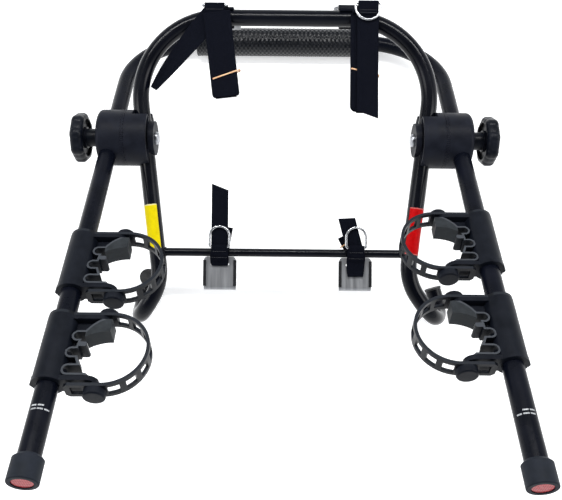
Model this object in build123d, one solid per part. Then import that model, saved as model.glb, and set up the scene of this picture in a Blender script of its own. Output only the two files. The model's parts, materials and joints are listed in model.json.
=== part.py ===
from build123d import *
import os
from math import atan2, cos, degrees, hypot, pi, radians, sin, sqrt, tan

os.makedirs("parts", exist_ok=True)

# Driving dimensions in millimetres and degrees

# Tubes and bars
arm_tube_radius = 12.7
frame_tube_radius = 12.25
tube_wall = 1.6
cross_bar_radius = 6.2

# Arm frame: the outer U with the foam bar at its closed end
arm_half_spacing = 262.0
arm_bend_radius = 124.0
foam_bar_reach = 265.0
arm_reach = 540.0
foam_radius = 23.0
foam_bend_cover = 20.0
foam_half_length = arm_half_spacing - arm_bend_radius + foam_bend_cover
scissor_angle = 40.0

# Vehicle frame: the inner U with the hooked feet
top_bar_reach = 185.0
leg_inset = 50.5
leg_half_spacing = arm_half_spacing - leg_inset
leg_lean_share = 0.1228
top_bend_radius = 120.0
cross_bar_drop = 172.0
left_flare_drop = 218.9
right_flare_drop = 213.0
flare_bend_radius = 80.0
foot_drop = 268.0
left_foot_flare = 1.5
right_foot_flare = 13.5
left_foot_out = 15.0
right_foot_out = 26.0
foot_depth = 58.0
foot_bend_radius = 30.0
left_return_rise = 45.6
left_return_in = 15.8
left_tip_rise = 11.5
left_tip_in = 3.9
left_tip_out = 33.0
left_tip_radius = 20.0
right_return_rise = 41.0
right_return_in = 13.0
plug_rim_over = 0.75
plug_rim_length = 3.0
plug_stem_length = 9.0
plug_stem_clearance = 0.05
plug_edge_radius = 0.6

# Hubs, their places measured from the centre line of the arm tube
hub_radius = 42.0
disc_start_inset = 67.0
disc_start = arm_half_spacing - disc_start_inset
disc_end_inset = 58.7
disc_end = arm_half_spacing - disc_end_inset
disc_radius = 25.5
hub_start_inset = 58.5
hub_start = arm_half_spacing - hub_start_inset
seam_face_inset = 21.8
seam_face = arm_half_spacing - seam_face_inset
outer_hub_start_inset = 21.3
outer_hub_start = arm_half_spacing - outer_hub_start_inset
outer_hub_end_outset = 16.0
outer_hub_end = arm_half_spacing + outer_hub_end_outset
outer_hub_rim_radius = 7.0
hub_wall = 3.5
hub_cavity_end_inset = 40.0
hub_cavity_end = arm_half_spacing - hub_cavity_end_inset
channel_half_width = 16.25
channel_clearance = 0.1
mouth_notch_height = 31.0
mouth_notch_end_inset = 36.0
mouth_notch_end = arm_half_spacing - mouth_notch_end_inset
hub_teeth = 48
tooth_depth = 4.0
tooth_inner_radius = 33.0
tooth_width_share = 0.465
groove_width_share = 0.56
groove_clearance = 0.3
groove_inner_clearance = 0.2
spring_pocket_radius = 12.0
spring_pocket_start_inset = 34.0
spring_pocket_start = arm_half_spacing - spring_pocket_start_inset
spring_pocket_end_inset = 15.0
spring_pocket_end = arm_half_spacing - spring_pocket_end_inset
spring_radius = 10.1
spring_wire_radius = 0.9
spring_turns = 4.5
spring_end_gap = 0.15

# Pivot bolt and hand knob
bolt_radius = 5.0
bolt_end_outset = 50.0
bolt_end = arm_half_spacing + bolt_end_outset
bolt_head_radius = 9.75
bolt_head_height = 5.0
bolt_head_round = 3.8
bolt_running_clearance = 0.08
bolt_free_clearance = 0.3
insert_clearance = 0.05
knob_middle_outset = 45.6
knob_middle = arm_half_spacing + knob_middle_outset
knob_thickness = 19.0
knob_core_radius = 35.6
knob_lobe_reach = 25.5
knob_lobe_radius = 12.0
knob_lobes = 8
knob_valley_radius = 4.0
knob_edge_radius = 7.0
knob_dish_radius = 28.0
knob_dish_core = 16.0
knob_dish_depth = 4.5
knob_face_radius = 20.0
knob_face_depth = 2.0
knob_stem_radius = 13.5
knob_stem_start_outset = 16.3
knob_stem_start = arm_half_spacing + knob_stem_start_outset
insert_across_flats = 17.0
insert_start_outset = 17.0
insert_start = arm_half_spacing + insert_start_outset
insert_end_outset = 27.0
insert_end = arm_half_spacing + insert_end_outset
knob_bore_radius = 5.6
knob_bore_end_outset = 51.5
knob_bore_end = arm_half_spacing + knob_bore_end_outset

# Arm end caps
cap_radius = 17.0
cap_length = 29.0
cap_shoulder = 3.5
cap_edge_radius = 1.5
cap_recess_radius = 12.0
cap_recess_depth = 4.0
cap_tube_stop = 7.0
cap_fit_clearance = 0.05
reflector_radius = 11.8
reflector_thickness = 3.0
reflector_edge = 0.8

# Cradles, in their own frame: x along the arm towards its end, y inward, z up
left_lower_inset = 159.0
right_lower_inset = 191.0
left_cradle_pitch = 130.0
right_cradle_pitch = 140.0
left_lower_reach = arm_reach - left_lower_inset
left_upper_reach = left_lower_reach - left_cradle_pitch
right_lower_reach = arm_reach - right_lower_inset
right_upper_reach = right_lower_reach - right_cradle_pitch
sleeve_radius = 18.75
sleeve_half_length = 39.0
sleeve_clearance = 0.08
top_plate_outer = 42.0
top_plate_inner = 36.5
top_plate_length = 57.0
bottom_plate_inner = 40.0
bottom_plate_outer = 46.0
bottom_plate_length = 56.0
plate_half_width = 12.5
lip_radius = 4.5
lip_offset = 16.0
lip_start = 36.0
web_thickness = 5.5
rest_depth = 60.0
seat_radius = 44.0
seat_middle = 4.0
seat_height = 72.0
notch_half_width = 4.8
notch_places = (-13.0, 9.5, 32.0)
notch_bottoms = (20.0, 16.5, 16.5)
saddle_thickness = 2.4
saddle_half_width = 12.0
saddle_gap = 0.05
nub_start = -4.5
nub_end = 1.5
nub_height = 37.0
nub_round = 2.5
pad_tip = 33.0
pad_end = 61.0
pad_slope_start = 45.0
pad_shoulder = -27.0
pad_inner_low = -11.0
pad_outer_low = -19.0
pad_hollow = 2.2
pad_gap = 0.05
button_radius = 12.0
button_height = 8.0
button_round = 4.0
button_place = 53.0
button_neck_radius = 4.0
neck_clearance = 0.2
stud_place = 54.0
stud_collar_radius = 9.0
stud_radius = 13.0
stud_start = 53.2
stud_end = 62.0
stud_round = 2.5

# Ladder straps
strap_width = 24.0
strap_thickness = 4.0
eyelet_radius = 18.5
eyelet_bore_radius = 13.25
strap_split = 60.0
strap_split_gap = 0.1
strap_arc_radius = 47.5
strap_seat_gap = 0.1
strap_tail_end = 20.0
ladder_pitch = 20.5
ladder_hole_length = 13.5
ladder_hole_width = 14.0
ladder_holes_before_stud = 7
strap_tail_chamfer = 4.0

# Webbing straps
webbing_thickness = 1.6
wrap_clearance = 0.3
top_wrap_width = 36.0
top_left_place = -107.0
top_right_place = 122.0
bundle_width = 38.0
bundle_height = 6.4
bundle_bite = 0.25
top_left_bundle_place = -100.0
top_left_bundle_turn = 7.7
top_left_bundle_drop = 124.0
top_left_bundle_low = top_bar_reach - top_left_bundle_drop
top_right_bundle_place = 119.0
top_right_bundle_drop = 144.0
top_right_bundle_low = top_bar_reach - top_right_bundle_drop
bundle_rise = 3.0
bundle_high = top_bar_reach + bundle_rise
top_right_tail_width = 32.0
top_right_tail_place = 125.5
top_right_tail_drop = 153.5
top_right_tail_low = top_bar_reach - top_right_tail_drop
top_right_tail_slant = 11.0
top_left_tail_points = (
    (-109.0, 1.0, 14.7),
    (-131.0, -26.0, 14.6),
    (-155.0, -56.0, 11.0),
    (-173.5, -82.0, 8.0),
    (-188.0, -103.0, 6.5),
)
top_left_tail_twists = (0.0, 4.0, 20.0, 48.0, 62.0)
top_left_tail_width = 33.0
lower_left_place = -96.0
lower_right_place = 108.0
lower_width = 24.0
lower_loop_depth = 15.0
lower_loop_radius = 3.4
lower_tail_width = 25.0
lower_left_tail_high = 69.6
lower_left_tail_slant = 9.0
lower_right_tail_high = 119.5
lower_right_tail_slant = 5.0
lower_right_tail_turn = 20.0
lower_spare_high = 40.0
lower_spare_low = 8.0
lower_left_spare_turn = -9.0
lower_right_spare_turn = 30.0

# D rings
ring_wire_radius = 1.8
ring_keeper_gap = 0.3
top_keeper_width = 30.0
top_ring_half_width = 18.6
top_ring_drop = 21.0
top_left_ring_y = 13.5
top_left_ring_z = 16.0
top_left_ring_turn = 104.5
top_right_ring_y = 14.0
top_tail_lift = 3.2
lower_keeper_width = 23.0
lower_ring_half_width = 14.6
lower_ring_rise = 27.0
lower_ring_y = 8.0

# Hook plates and their vinyl edges
hook_half_width = 24.0
hook_length = 49.0
hook_thickness = 2.0
hook_slot_height = 3.0
hook_corner_radius = 5.0
hook_lip_radius = 5.0
lower_slot_half_width = 14.0
lower_ear_height = 9.5
lower_ear_inset = 1.0
top_slot_half_width = 19.0
top_ear_height = 5.0
edging_thickness = 4.0
edging_width = 4.5
edging_wall = 1.0
edging_gap = 0.05
top_hook_tilt = 75.0
top_hook_places = {-1: -96.0, 1: 98.0}
top_hook_y = {-1: 14.5, 1: 22.75}
top_hook_z = {-1: -19.0, 1: -16.2}
hook_loop_width = 34.0
hook_link_y = 10.0
hook_link_z = -9.0

# Rubber bands
band_radius = 1.1
band_gap = 0.3
top_left_band_drop = 93.0
top_left_band_y = top_bar_reach - top_left_band_drop
top_left_band_turn = 12.0
top_right_band_drop = 87.0
top_right_band_y = top_bar_reach - top_right_band_drop
top_right_band_turn = -14.0
lower_band_reach = 19.0

# World placing


def rounded_path(points, radii):
    """Centre line through the points, with an arc at each inner point."""
    corners = [Vector(*point) for point in points]
    edges = []
    start = corners[0]
    for index, radius in enumerate(radii, start=1):
        corner = corners[index]
        back = (corners[index - 1] - corner).normalized()
        ahead = (corners[index + 1] - corner).normalized()
        half_angle = radians(back.get_angle(ahead)) / 2
        middle = (back + ahead).normalized()
        arc_start = corner + back * (radius / tan(half_angle))
        arc_end = corner + ahead * (radius / tan(half_angle))
        arc_middle = corner + middle * (radius / sin(half_angle) - radius)
        edges.append(Line(start, arc_start))
        edges.append(ThreePointArc(arc_start, arc_middle, arc_end))
        start = arc_end
    edges.append(Line(start, corners[-1]))
    return Wire(edges)


def leg_x(height):
    """Distance of the leg's centre line from the middle at a height."""
    return leg_half_spacing + leg_lean_share * height


def foot_points(side):
    """Flare, drop and return of one foot, from the leg outward, and the left foot's tip."""
    rise = right_return_rise if side > 0 else left_return_rise
    inward = right_return_in if side > 0 else left_return_in
    flare_drop = right_flare_drop if side > 0 else left_flare_drop
    flare = right_foot_flare if side > 0 else left_foot_flare
    out = right_foot_out if side > 0 else left_foot_out
    foot_x = leg_half_spacing + flare
    return_x = foot_x + out - inward
    points = [
        (side * leg_x(-flare_drop), -flare_drop, 0),
        (side * foot_x, -foot_drop, 0),
        (side * (foot_x + out), -foot_drop, -foot_depth),
        (side * return_x, -foot_drop + rise, -foot_depth),
    ]
    if side < 0:
        tip_y = -foot_drop + rise + left_tip_rise
        points.append((side * (return_x - left_tip_in), tip_y, left_tip_out - foot_depth))
    return points


frame_points = (
    foot_points(-1)[::-1]
    + [(-leg_x(top_bar_reach), top_bar_reach, 0)]
    + [(leg_x(top_bar_reach), top_bar_reach, 0)]
    + foot_points(1)
)
frame_radii = (
    left_tip_radius,
    foot_bend_radius,
    foot_bend_radius,
    flare_bend_radius,
    top_bend_radius,
    top_bend_radius,
    flare_bend_radius,
    foot_bend_radius,
    foot_bend_radius,
)
frame_path = rounded_path(frame_points, frame_radii)

arm_points = (
    (-arm_half_spacing, -arm_reach + cap_tube_stop, 0),
    (-arm_half_spacing, foam_bar_reach, 0),
    (arm_half_spacing, foam_bar_reach, 0),
    (arm_half_spacing, -arm_reach + cap_tube_stop, 0),
)
arm_path = rounded_path(arm_points, (arm_bend_radius, arm_bend_radius))


def lowest_foot(tilt):
    """Lowest point of the feet below the hubs when the frame leans by tilt."""
    turned = frame_path.rotate(Axis.X, tilt)
    return turned.bounding_box().min.Z - frame_tube_radius


def lowest_foam(tilt):
    """Lowest point of the foam bar below the hubs for the same lean."""
    return -foam_bar_reach * sin(radians(scissor_angle - tilt)) - foam_radius


def resting_tilt():
    """Lean of the vehicle frame when foam and feet lie on one level."""
    low = 0.0
    high = scissor_angle
    for _ in range(24):
        middle = (low + high) / 2
        if lowest_foot(middle) > lowest_foam(middle):
            low = middle
        else:
            high = middle
    return (low + high) / 2


frame_tilt = resting_tilt()
arm_tilt = scissor_angle - frame_tilt
hub_height = -lowest_foam(frame_tilt)
cap_corner_reach = arm_reach - cap_edge_radius
cap_corner_radius = cap_radius - cap_edge_radius
arm_low_y = -cap_corner_reach * cos(radians(arm_tilt))
arm_low_y -= cap_corner_radius * sin(radians(arm_tilt)) + cap_edge_radius
foam_high_y = foam_bar_reach * cos(radians(arm_tilt)) + foam_radius
hub_y = -(arm_low_y + foam_high_y) / 2
hub_centre = (0, hub_y, hub_height)
frame_plane = Plane(
    origin=hub_centre,
    x_dir=(1, 0, 0),
    z_dir=(0, -sin(radians(frame_tilt)), cos(radians(frame_tilt))),
)
arm_plane = Plane(
    origin=hub_centre,
    x_dir=(1, 0, 0),
    z_dir=(0, sin(radians(arm_tilt)), cos(radians(arm_tilt))),
)

# Shared shapes


def rod(radius, start, end):
    """Round bar along x from start to end."""
    base = Plane(origin=(start, 0, 0), z_dir=(1, 0, 0))
    return base * Cylinder(radius, end - start, align=(Align.CENTER, Align.CENTER, Align.MIN))


def block(x_span, y_span, z_span):
    """Box between the named ends of each span."""
    spans = (x_span, y_span, z_span)
    sizes = [high - low for low, high in spans]
    middles = [(low + high) / 2 for low, high in spans]
    return Pos(*middles) * Box(*sizes)


def swept_bar(path, radius, hollow=0):
    """Round bar along a path, hollow where an inner radius is given."""
    section = Circle(radius)
    if hollow > 0:
        section -= Circle(hollow)
    return sweep(Plane(origin=path @ 0, z_dir=path % 0) * section, path=path)


def one_solid(shape):
    """The largest solid of a shape, for cuts that leave small offcuts."""
    return shape.solids().sort_by(SortBy.VOLUME)[-1]


def both_sides(shape):
    """The right-hand shape together with its mirror image."""
    return Compound(shape.solids() + mirror(shape, about=Plane.YZ).solids())


def save(name, shape):
    """Write one named node."""
    export_step(shape, "parts/" + name + ".step")


side_names = {-1: "left", 1: "right"}


def for_side(shape, side):
    """A right-hand shape, or its mirror image for the left."""
    return shape if side > 0 else mirror(shape, about=Plane.YZ)


# Vehicle frame

bolt_hole_radius = bolt_radius + bolt_free_clearance
frame_outline = swept_bar(frame_path, frame_tube_radius)
bolt_hole = rod(bolt_hole_radius, disc_start, leg_half_spacing + 2 * frame_tube_radius)
frame_tube = swept_bar(frame_path, frame_tube_radius, frame_tube_radius - tube_wall)
frame_tube = one_solid(frame_tube - bolt_hole - mirror(bolt_hole, about=Plane.YZ))
save("vehicle_frame_tube", frame_plane * frame_tube)

cross_bar_end = leg_x(-cross_bar_drop)
cross_bar = Pos(0, -cross_bar_drop, 0) * rod(cross_bar_radius, -cross_bar_end, cross_bar_end)
save("cross_bar", frame_plane * one_solid(cross_bar - frame_outline))


def foot_plug(tip, before):
    """Plug with a rim on the tube's open end and a stem inside it."""
    direction = (Vector(*tip) - Vector(*before)).normalized()
    rim = extrude(Circle(frame_tube_radius + plug_rim_over), plug_rim_length)
    rim = fillet(rim.edges().sort_by(Axis.Z)[-1], plug_edge_radius)
    stem_radius = frame_tube_radius - tube_wall - plug_stem_clearance
    stem = extrude(Circle(stem_radius), -plug_stem_length)
    return Plane(origin=tip, z_dir=direction) * (rim + stem)


plugs = foot_plug(frame_points[0], frame_points[1]).solids()
plugs += foot_plug(frame_points[-1], frame_points[-2]).solids()
save("foot_plugs", frame_plane * Compound(plugs))

# Hub halves, built for the right side

leg_plane = Plane(
    origin=(leg_half_spacing, 0, 0),
    x_dir=(1, -leg_lean_share, 0),
    z_dir=(leg_lean_share, 1, 0),
)
tooth_pitch = 360 / hub_teeth


def tooth_ring(inner_radius, outer_radius, width_share, phase):
    """Ring of evenly spaced wedge faces in the plane across the hub axis."""
    half_width = tooth_pitch * width_share / 2
    wedges = []
    for index in range(hub_teeth):
        middle = index * tooth_pitch + phase
        low = radians(middle - half_width)
        high = radians(middle + half_width)
        corners = (
            (inner_radius * cos(low), inner_radius * sin(low)),
            (outer_radius * cos(low), outer_radius * sin(low)),
            (outer_radius * cos(high), outer_radius * sin(high)),
            (inner_radius * cos(high), inner_radius * sin(high)),
        )
        wedges.append(Polygon(*corners, align=None))
    return Sketch() + wedges


def inner_hub():
    """Cup that holds the leg tube, with grooves in its seam face."""
    cup = rod(hub_radius, hub_start, seam_face)
    cavity = rod(hub_radius - hub_wall, hub_start, hub_cavity_end)
    wide = hub_radius + hub_wall
    channel_rib = block(
        (hub_start, hub_cavity_end), (-wide, wide), (-channel_half_width, channel_half_width)
    )
    channel_radius = frame_tube_radius + channel_clearance
    channel_section = Circle(channel_radius)
    channel_section += Pos(-hub_radius / 2, 0) * Rectangle(hub_radius, 2 * channel_radius)
    channel = extrude(leg_plane * channel_section, wide, both=True)
    notch = block(
        (hub_start, mouth_notch_end), (mouth_notch_height, wide), (0, wide)
    )
    groove_depth = tooth_depth + groove_clearance
    grooves = extrude(
        Plane.YZ.offset(seam_face - groove_depth)
        * tooth_ring(
            tooth_inner_radius - groove_inner_clearance,
            hub_radius + hub_wall,
            groove_width_share,
            0,
        ),
        groove_depth + groove_clearance,
    )
    pocket = rod(spring_pocket_radius, spring_pocket_start, seam_face + groove_clearance)
    bore = rod(bolt_hole_radius, hub_start, seam_face)
    cup = cup - (cavity - channel_rib) - channel - notch - pocket - bore - grooves
    return one_solid(cup)


def outer_hub_body():
    """Block that the arm tube runs through."""
    body = rod(hub_radius, outer_hub_start, outer_hub_end)
    rim = body.edges().filter_by(GeomType.CIRCLE).sort_by(Axis.X)[-1]
    body = fillet(rim, outer_hub_rim_radius)
    tube_way = Pos(arm_half_spacing, 0, 0) * Rot(90, 0, 0) * Cylinder(
        arm_tube_radius + cap_fit_clearance, 2 * (hub_radius + hub_wall)
    )
    pocket = rod(spring_pocket_radius, outer_hub_start, spring_pocket_end)
    bore = rod(bolt_radius + bolt_running_clearance, outer_hub_start, outer_hub_end)
    return body - tube_way - pocket - bore


def outer_hub_teeth():
    """Teeth that stand on the outer half's seam face."""
    ring = tooth_ring(tooth_inner_radius, hub_radius, tooth_width_share, 0)
    root = groove_clearance / 2
    start = Plane.YZ.offset(outer_hub_start - tooth_depth)
    return extrude(start * ring, tooth_depth + root)


inner_hub_shape = inner_hub()
outer_hub_shape = outer_hub_body()
outer_teeth_shape = outer_hub_teeth()
for side, side_name in side_names.items():
    save("inner_hub_" + side_name, frame_plane * for_side(inner_hub_shape, side))
    body_part = arm_plane * for_side(outer_hub_shape, side)
    teeth_part = frame_plane * for_side(outer_teeth_shape, side)
    save("outer_hub_" + side_name, body_part + teeth_part)

disc = rod(disc_radius, disc_start, disc_end)
leg_core = extrude(leg_plane * Circle(frame_tube_radius), hub_radius, both=True)
disc = disc - leg_core - rod(bolt_hole_radius, disc_start, disc_end)
save("pressure_discs", frame_plane * both_sides(one_solid(disc)))

bolt_head = rod(bolt_head_radius, disc_start - bolt_head_height, disc_start)
bolt_head = fillet(bolt_head.edges().sort_by(Axis.X)[0], bolt_head_round)
bolt = bolt_head + rod(bolt_radius, disc_start, bolt_end)
save("pivot_bolts", frame_plane * both_sides(bolt))


def hub_spring():
    """Coil spring in the pockets of both hub halves."""
    start = spring_pocket_start + spring_end_gap + spring_wire_radius
    end = spring_pocket_end - spring_end_gap - spring_wire_radius
    coil = Helix((end - start) / spring_turns, end - start, spring_radius)
    wire = sweep(
        Plane(origin=coil @ 0, z_dir=coil % 0) * Circle(spring_wire_radius),
        path=coil,
        is_frenet=True,
    )
    return Plane(origin=(start, 0, 0), z_dir=(1, 0, 0)) * wire


save("hub_springs", arm_plane * both_sides(hub_spring()))

# Hand knobs


def hand_knob():
    """Lobed head with a stem, bored for the bolt and pocketed for the nut."""
    outline = Sketch() + Circle(knob_core_radius)
    for place in PolarLocations(knob_lobe_reach, knob_lobes):
        outline += place * Circle(knob_lobe_radius)
    outline = fillet(outline.vertices(), knob_valley_radius)
    head_start = knob_middle - knob_thickness / 2
    head_end = knob_middle + knob_thickness / 2
    head = extrude(Plane.YZ.offset(head_start) * outline, knob_thickness)
    ends = head.edges().group_by(Axis.X)
    head = fillet(ends[0] + ends[-1], knob_edge_radius)
    head -= rod(knob_face_radius, head_end - knob_face_depth, head_end)
    dish_end = head_start + knob_dish_depth
    head -= rod(knob_dish_radius, head_start, dish_end) - rod(knob_dish_core, head_start, dish_end)
    stem = rod(knob_stem_radius, knob_stem_start, head_start + knob_edge_radius)
    flat_radius = insert_across_flats / 2
    pocket = extrude(
        Plane.YZ.offset(knob_stem_start) * RegularPolygon(flat_radius, 6, major_radius=False),
        insert_end - knob_stem_start,
    )
    return head + stem - pocket - rod(knob_bore_radius, insert_end, knob_bore_end)


def knob_insert():
    """Hexagon nut held in the knob's stem."""
    flat_radius = insert_across_flats / 2
    nut = extrude(
        Plane.YZ.offset(insert_start) * RegularPolygon(flat_radius, 6, major_radius=False),
        insert_end - insert_start,
    )
    return nut - rod(bolt_radius + insert_clearance, insert_start, insert_end)


knob_shape = hand_knob()
insert_shape = knob_insert()
for side, side_name in side_names.items():
    save("hand_knob_" + side_name, frame_plane * for_side(knob_shape, side))
    save("knob_insert_" + side_name, frame_plane * for_side(insert_shape, side))

# Arm frame

arm_tube = swept_bar(arm_path, arm_tube_radius, arm_tube_radius - tube_wall)
arm_hole = rod(bolt_hole_radius, seam_face, outer_hub_end)
arm_tube = one_solid(arm_tube - arm_hole - mirror(arm_hole, about=Plane.YZ))
save("arm_frame_tube", arm_plane * arm_tube)


def foam_sleeve():
    """Foam along the straight bar and a short way into both bends."""
    straight_end = arm_half_spacing - arm_bend_radius
    arc_centre_y = foam_bar_reach - arm_bend_radius
    sweep_angle = (foam_half_length - straight_end) / arm_bend_radius

    def on_arc(side, angle):
        x = straight_end + arm_bend_radius * sin(angle)
        return (side * x, arc_centre_y + arm_bend_radius * cos(angle), 0)

    left_arc = ThreePointArc(
        on_arc(-1, sweep_angle), on_arc(-1, sweep_angle / 2), on_arc(-1, 0)
    )
    right_arc = ThreePointArc(
        on_arc(1, 0), on_arc(1, sweep_angle / 2), on_arc(1, sweep_angle)
    )
    path = Wire([left_arc, Line(on_arc(-1, 0), on_arc(1, 0)), right_arc])
    return swept_bar(path, foam_radius, arm_tube_radius)


save("foam_sleeve", arm_plane * foam_sleeve())


def end_cap():
    """Rubber cap with a round shoulder and a recess for the reflector."""
    cap = extrude(Circle(cap_radius), cap_length)
    rims = cap.edges().sort_by(Axis.Z)
    cap = chamfer(rims[0], cap_shoulder)
    cap = fillet(cap.edges().sort_by(Axis.Z)[-1], cap_edge_radius)
    tube_room = extrude(Circle(arm_tube_radius + cap_fit_clearance), cap_length - cap_tube_stop)
    recess = Pos(0, 0, cap_length - cap_recess_depth) * extrude(
        Circle(cap_recess_radius), cap_recess_depth
    )
    return cap - tube_room - recess


def end_reflector():
    """Round lens that lies in the cap's recess."""
    lens = Pos(0, 0, cap_length - cap_recess_depth) * extrude(
        Circle(reflector_radius), reflector_thickness
    )
    return fillet(lens.edges().sort_by(Axis.Z)[-1], reflector_edge)


cap_shape = end_cap()
lenses = []
for side, side_name in side_names.items():
    cap_plane = Plane(
        origin=(side * arm_half_spacing, -arm_reach + cap_length, 0),
        x_dir=(1, 0, 0),
        z_dir=(0, -1, 0),
    )
    save("end_cap_" + side_name, arm_plane * (cap_plane * cap_shape))
    lenses += (cap_plane * end_reflector()).solids()
save("end_reflectors", arm_plane * Compound(lenses))

# Cradles

cradle_reaches = {
    "left_upper": (-1, left_upper_reach),
    "left_lower": (-1, left_lower_reach),
    "right_upper": (1, right_upper_reach),
    "right_lower": (1, right_lower_reach),
}


def on_arm(shape, side, reach):
    """Put a cradle piece on an arm at a distance from the hub."""
    left_plane = Plane(
        origin=(-arm_half_spacing, -reach, 0), x_dir=(0, -1, 0), z_dir=(0, 0, 1)
    )
    placed = left_plane * shape
    return arm_plane * (placed if side < 0 else mirror(placed, about=Plane.YZ))


def plate(start, end, length, half_width):
    """Plate across the arm with a round inward end, from the arm to its length."""
    straight = length - half_width
    outline = Pos(straight / 2, 0) * Rectangle(straight, 2 * half_width)
    outline += Pos(straight, 0) * Circle(half_width)
    return extrude(Plane.YZ.offset(start) * outline, end - start)


def seat_cut(grow):
    """Seat circle with its three notches, grown by a margin."""
    cut = Pos(seat_middle, seat_height) * Circle(seat_radius + grow)
    for place, bottom in zip(notch_places, notch_bottoms):
        half_width = notch_half_width + grow
        low = bottom + notch_half_width
        cut += Pos(place, low) * Circle(half_width)
        cut += Pos(place, (low + seat_height) / 2) * Rectangle(2 * half_width, seat_height - low)
    return cut


def rest_area():
    """Area between the two plates, from the sleeve to the mouth."""
    length = bottom_plate_inner + top_plate_inner
    middle = (bottom_plate_inner - top_plate_inner) / 2
    return Pos(middle, rest_depth / 2) * Rectangle(length, rest_depth)


def centred_extrude(outline, half_width):
    """Extrude a face in the cradle plane to both sides."""
    return extrude(Plane.XY * outline, half_width, both=True)


def cradle_body():
    """Sleeve, two plates, web and the stud for the strap."""
    body = rod(sleeve_radius, -sleeve_half_length, sleeve_half_length)
    body += rod(sleeve_radius, -top_plate_outer, -top_plate_inner)
    body += rod(sleeve_radius, sleeve_half_length, bottom_plate_outer)
    body += plate(-top_plate_outer, -top_plate_inner, top_plate_length, plate_half_width)
    body += plate(bottom_plate_inner, bottom_plate_outer, bottom_plate_length, plate_half_width)
    web = rest_area() - seat_cut(saddle_thickness + saddle_gap)
    body += centred_extrude(web, web_thickness / 2)
    body += Pos(0, -lip_offset, 0) * rod(lip_radius, lip_start, bottom_plate_outer)
    strap_face = seat_middle_of_strap + strap_arc_radius - strap_thickness / 2
    stud = rod(stud_collar_radius, bottom_plate_outer, strap_face - strap_seat_gap)
    stud += rod(button_neck_radius, bottom_plate_outer, stud_start)
    head = rod(stud_radius, stud_start, stud_end)
    head = fillet(head.edges().sort_by(Axis.X)[-1], stud_round)
    body += Pos(0, stud_place, 0) * (stud + head)
    body -= Pos(0, button_place, 0) * rod(
        button_neck_radius + neck_clearance, -top_plate_outer, -top_plate_inner
    )
    return body - rod(arm_tube_radius + sleeve_clearance, -strap_arc_radius, strap_arc_radius)


def saddle():
    """Soft ribbon on the seat with the nub between its notches."""
    ribbon = rest_area() & (seat_cut(saddle_thickness) - seat_cut(0))
    nub_middle = (nub_start + nub_end) / 2
    nub_low = seat_height - seat_radius - saddle_thickness / 2
    nub = Pos(nub_middle, (nub_low + nub_height) / 2) * RectangleRounded(
        nub_end - nub_start, nub_height - nub_low, nub_round
    )
    shape = centred_extrude(ribbon + nub, saddle_half_width)
    shape -= rod(sleeve_radius + saddle_gap, -sleeve_half_length, sleeve_half_length)
    return shape


def strap_pad():
    """Block under the top plate with a hollow lower face."""
    low_middle = (
        (pad_inner_low + pad_outer_low) / 2 - pad_hollow,
        (pad_tip + pad_end) / 2,
    )
    edges = [
        Line((-top_plate_inner, pad_slope_start), (-top_plate_inner, pad_end)),
        Line((-top_plate_inner, pad_end), (pad_outer_low, pad_end)),
        ThreePointArc((pad_outer_low, pad_end), low_middle, (pad_inner_low, pad_tip)),
        Line((pad_inner_low, pad_tip), (pad_shoulder, pad_tip)),
        Line((pad_shoulder, pad_tip), (-top_plate_inner, pad_slope_start)),
    ]
    outline = make_face(edges)
    outline -= rest_area() - seat_cut(-pad_gap)
    return one_solid(centred_extrude(outline, saddle_half_width))


def strap_root():
    """Eyelet round the arm tube and flat run to the strap's bend."""
    outline = Circle(eyelet_radius)
    reach = strap_split - strap_split_gap
    outline += Pos(reach / 2, 0) * Rectangle(reach, strap_width)
    outline -= Circle(eyelet_bore_radius)
    outline -= Pos(button_place, 0) * Circle(button_neck_radius + neck_clearance)
    start = -top_plate_outer - strap_thickness
    return extrude(Plane.YZ.offset(start) * outline, strap_thickness)


seat_middle_of_strap = strap_arc_radius - top_plate_outer - strap_thickness / 2


def strap_path():
    """Centre line of the looped strap, from the split round to the tail."""
    near = seat_middle_of_strap - strap_arc_radius
    far = seat_middle_of_strap + strap_arc_radius
    start = (near, strap_split, 0)
    middle = (seat_middle_of_strap, strap_split + strap_arc_radius, 0)
    end = (far, strap_split, 0)
    return Wire([ThreePointArc(start, middle, end), Line(end, (far, strap_tail_end, 0))])


def ladder_strap():
    """Looped strap with its row of rectangular holes."""
    path = strap_path()
    start = Plane(origin=path @ 0, x_dir=(1, 0, 0), z_dir=path % 0)
    strap = sweep(start * Rectangle(strap_thickness, strap_width), path=path)
    arc_length = pi * strap_arc_radius
    length = arc_length + strap_split - strap_tail_end
    stud_distance = arc_length + strap_split - stud_place
    first = stud_distance - ladder_holes_before_stud * ladder_pitch
    for index in range(ladder_holes_before_stud + 2):
        share = (first + index * ladder_pitch) / length
        place = Plane(origin=path @ share, x_dir=(0, 0, 1), z_dir=path % share)
        strap -= place * Box(ladder_hole_width, 2 * strap_thickness, ladder_hole_length)
    tail = strap.edges().filter_by(Axis.X).group_by(Axis.Y)[0]
    return chamfer(tail, strap_tail_chamfer)


def top_button():
    """Domed button with a neck through strap and plate."""
    head_start = -top_plate_outer - strap_thickness
    head = rod(button_radius, head_start - button_height, head_start)
    head = fillet(head.edges().sort_by(Axis.X)[0], button_round)
    return Pos(0, button_place, 0) * (head + rod(button_neck_radius, head_start, -top_plate_inner))


cradle_shapes = {
    "cradle_body_": cradle_body(),
    "saddle_": saddle(),
    "strap_pad_": strap_pad(),
    "strap_root_": strap_root(),
    "ladder_strap_": ladder_strap(),
    "top_button_": top_button(),
}
for cradle_name, (side, reach) in cradle_reaches.items():
    for piece_name, shape in cradle_shapes.items():
        save(piece_name + cradle_name, on_arm(shape, side, reach))

# Webbing straps on the top bar

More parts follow.
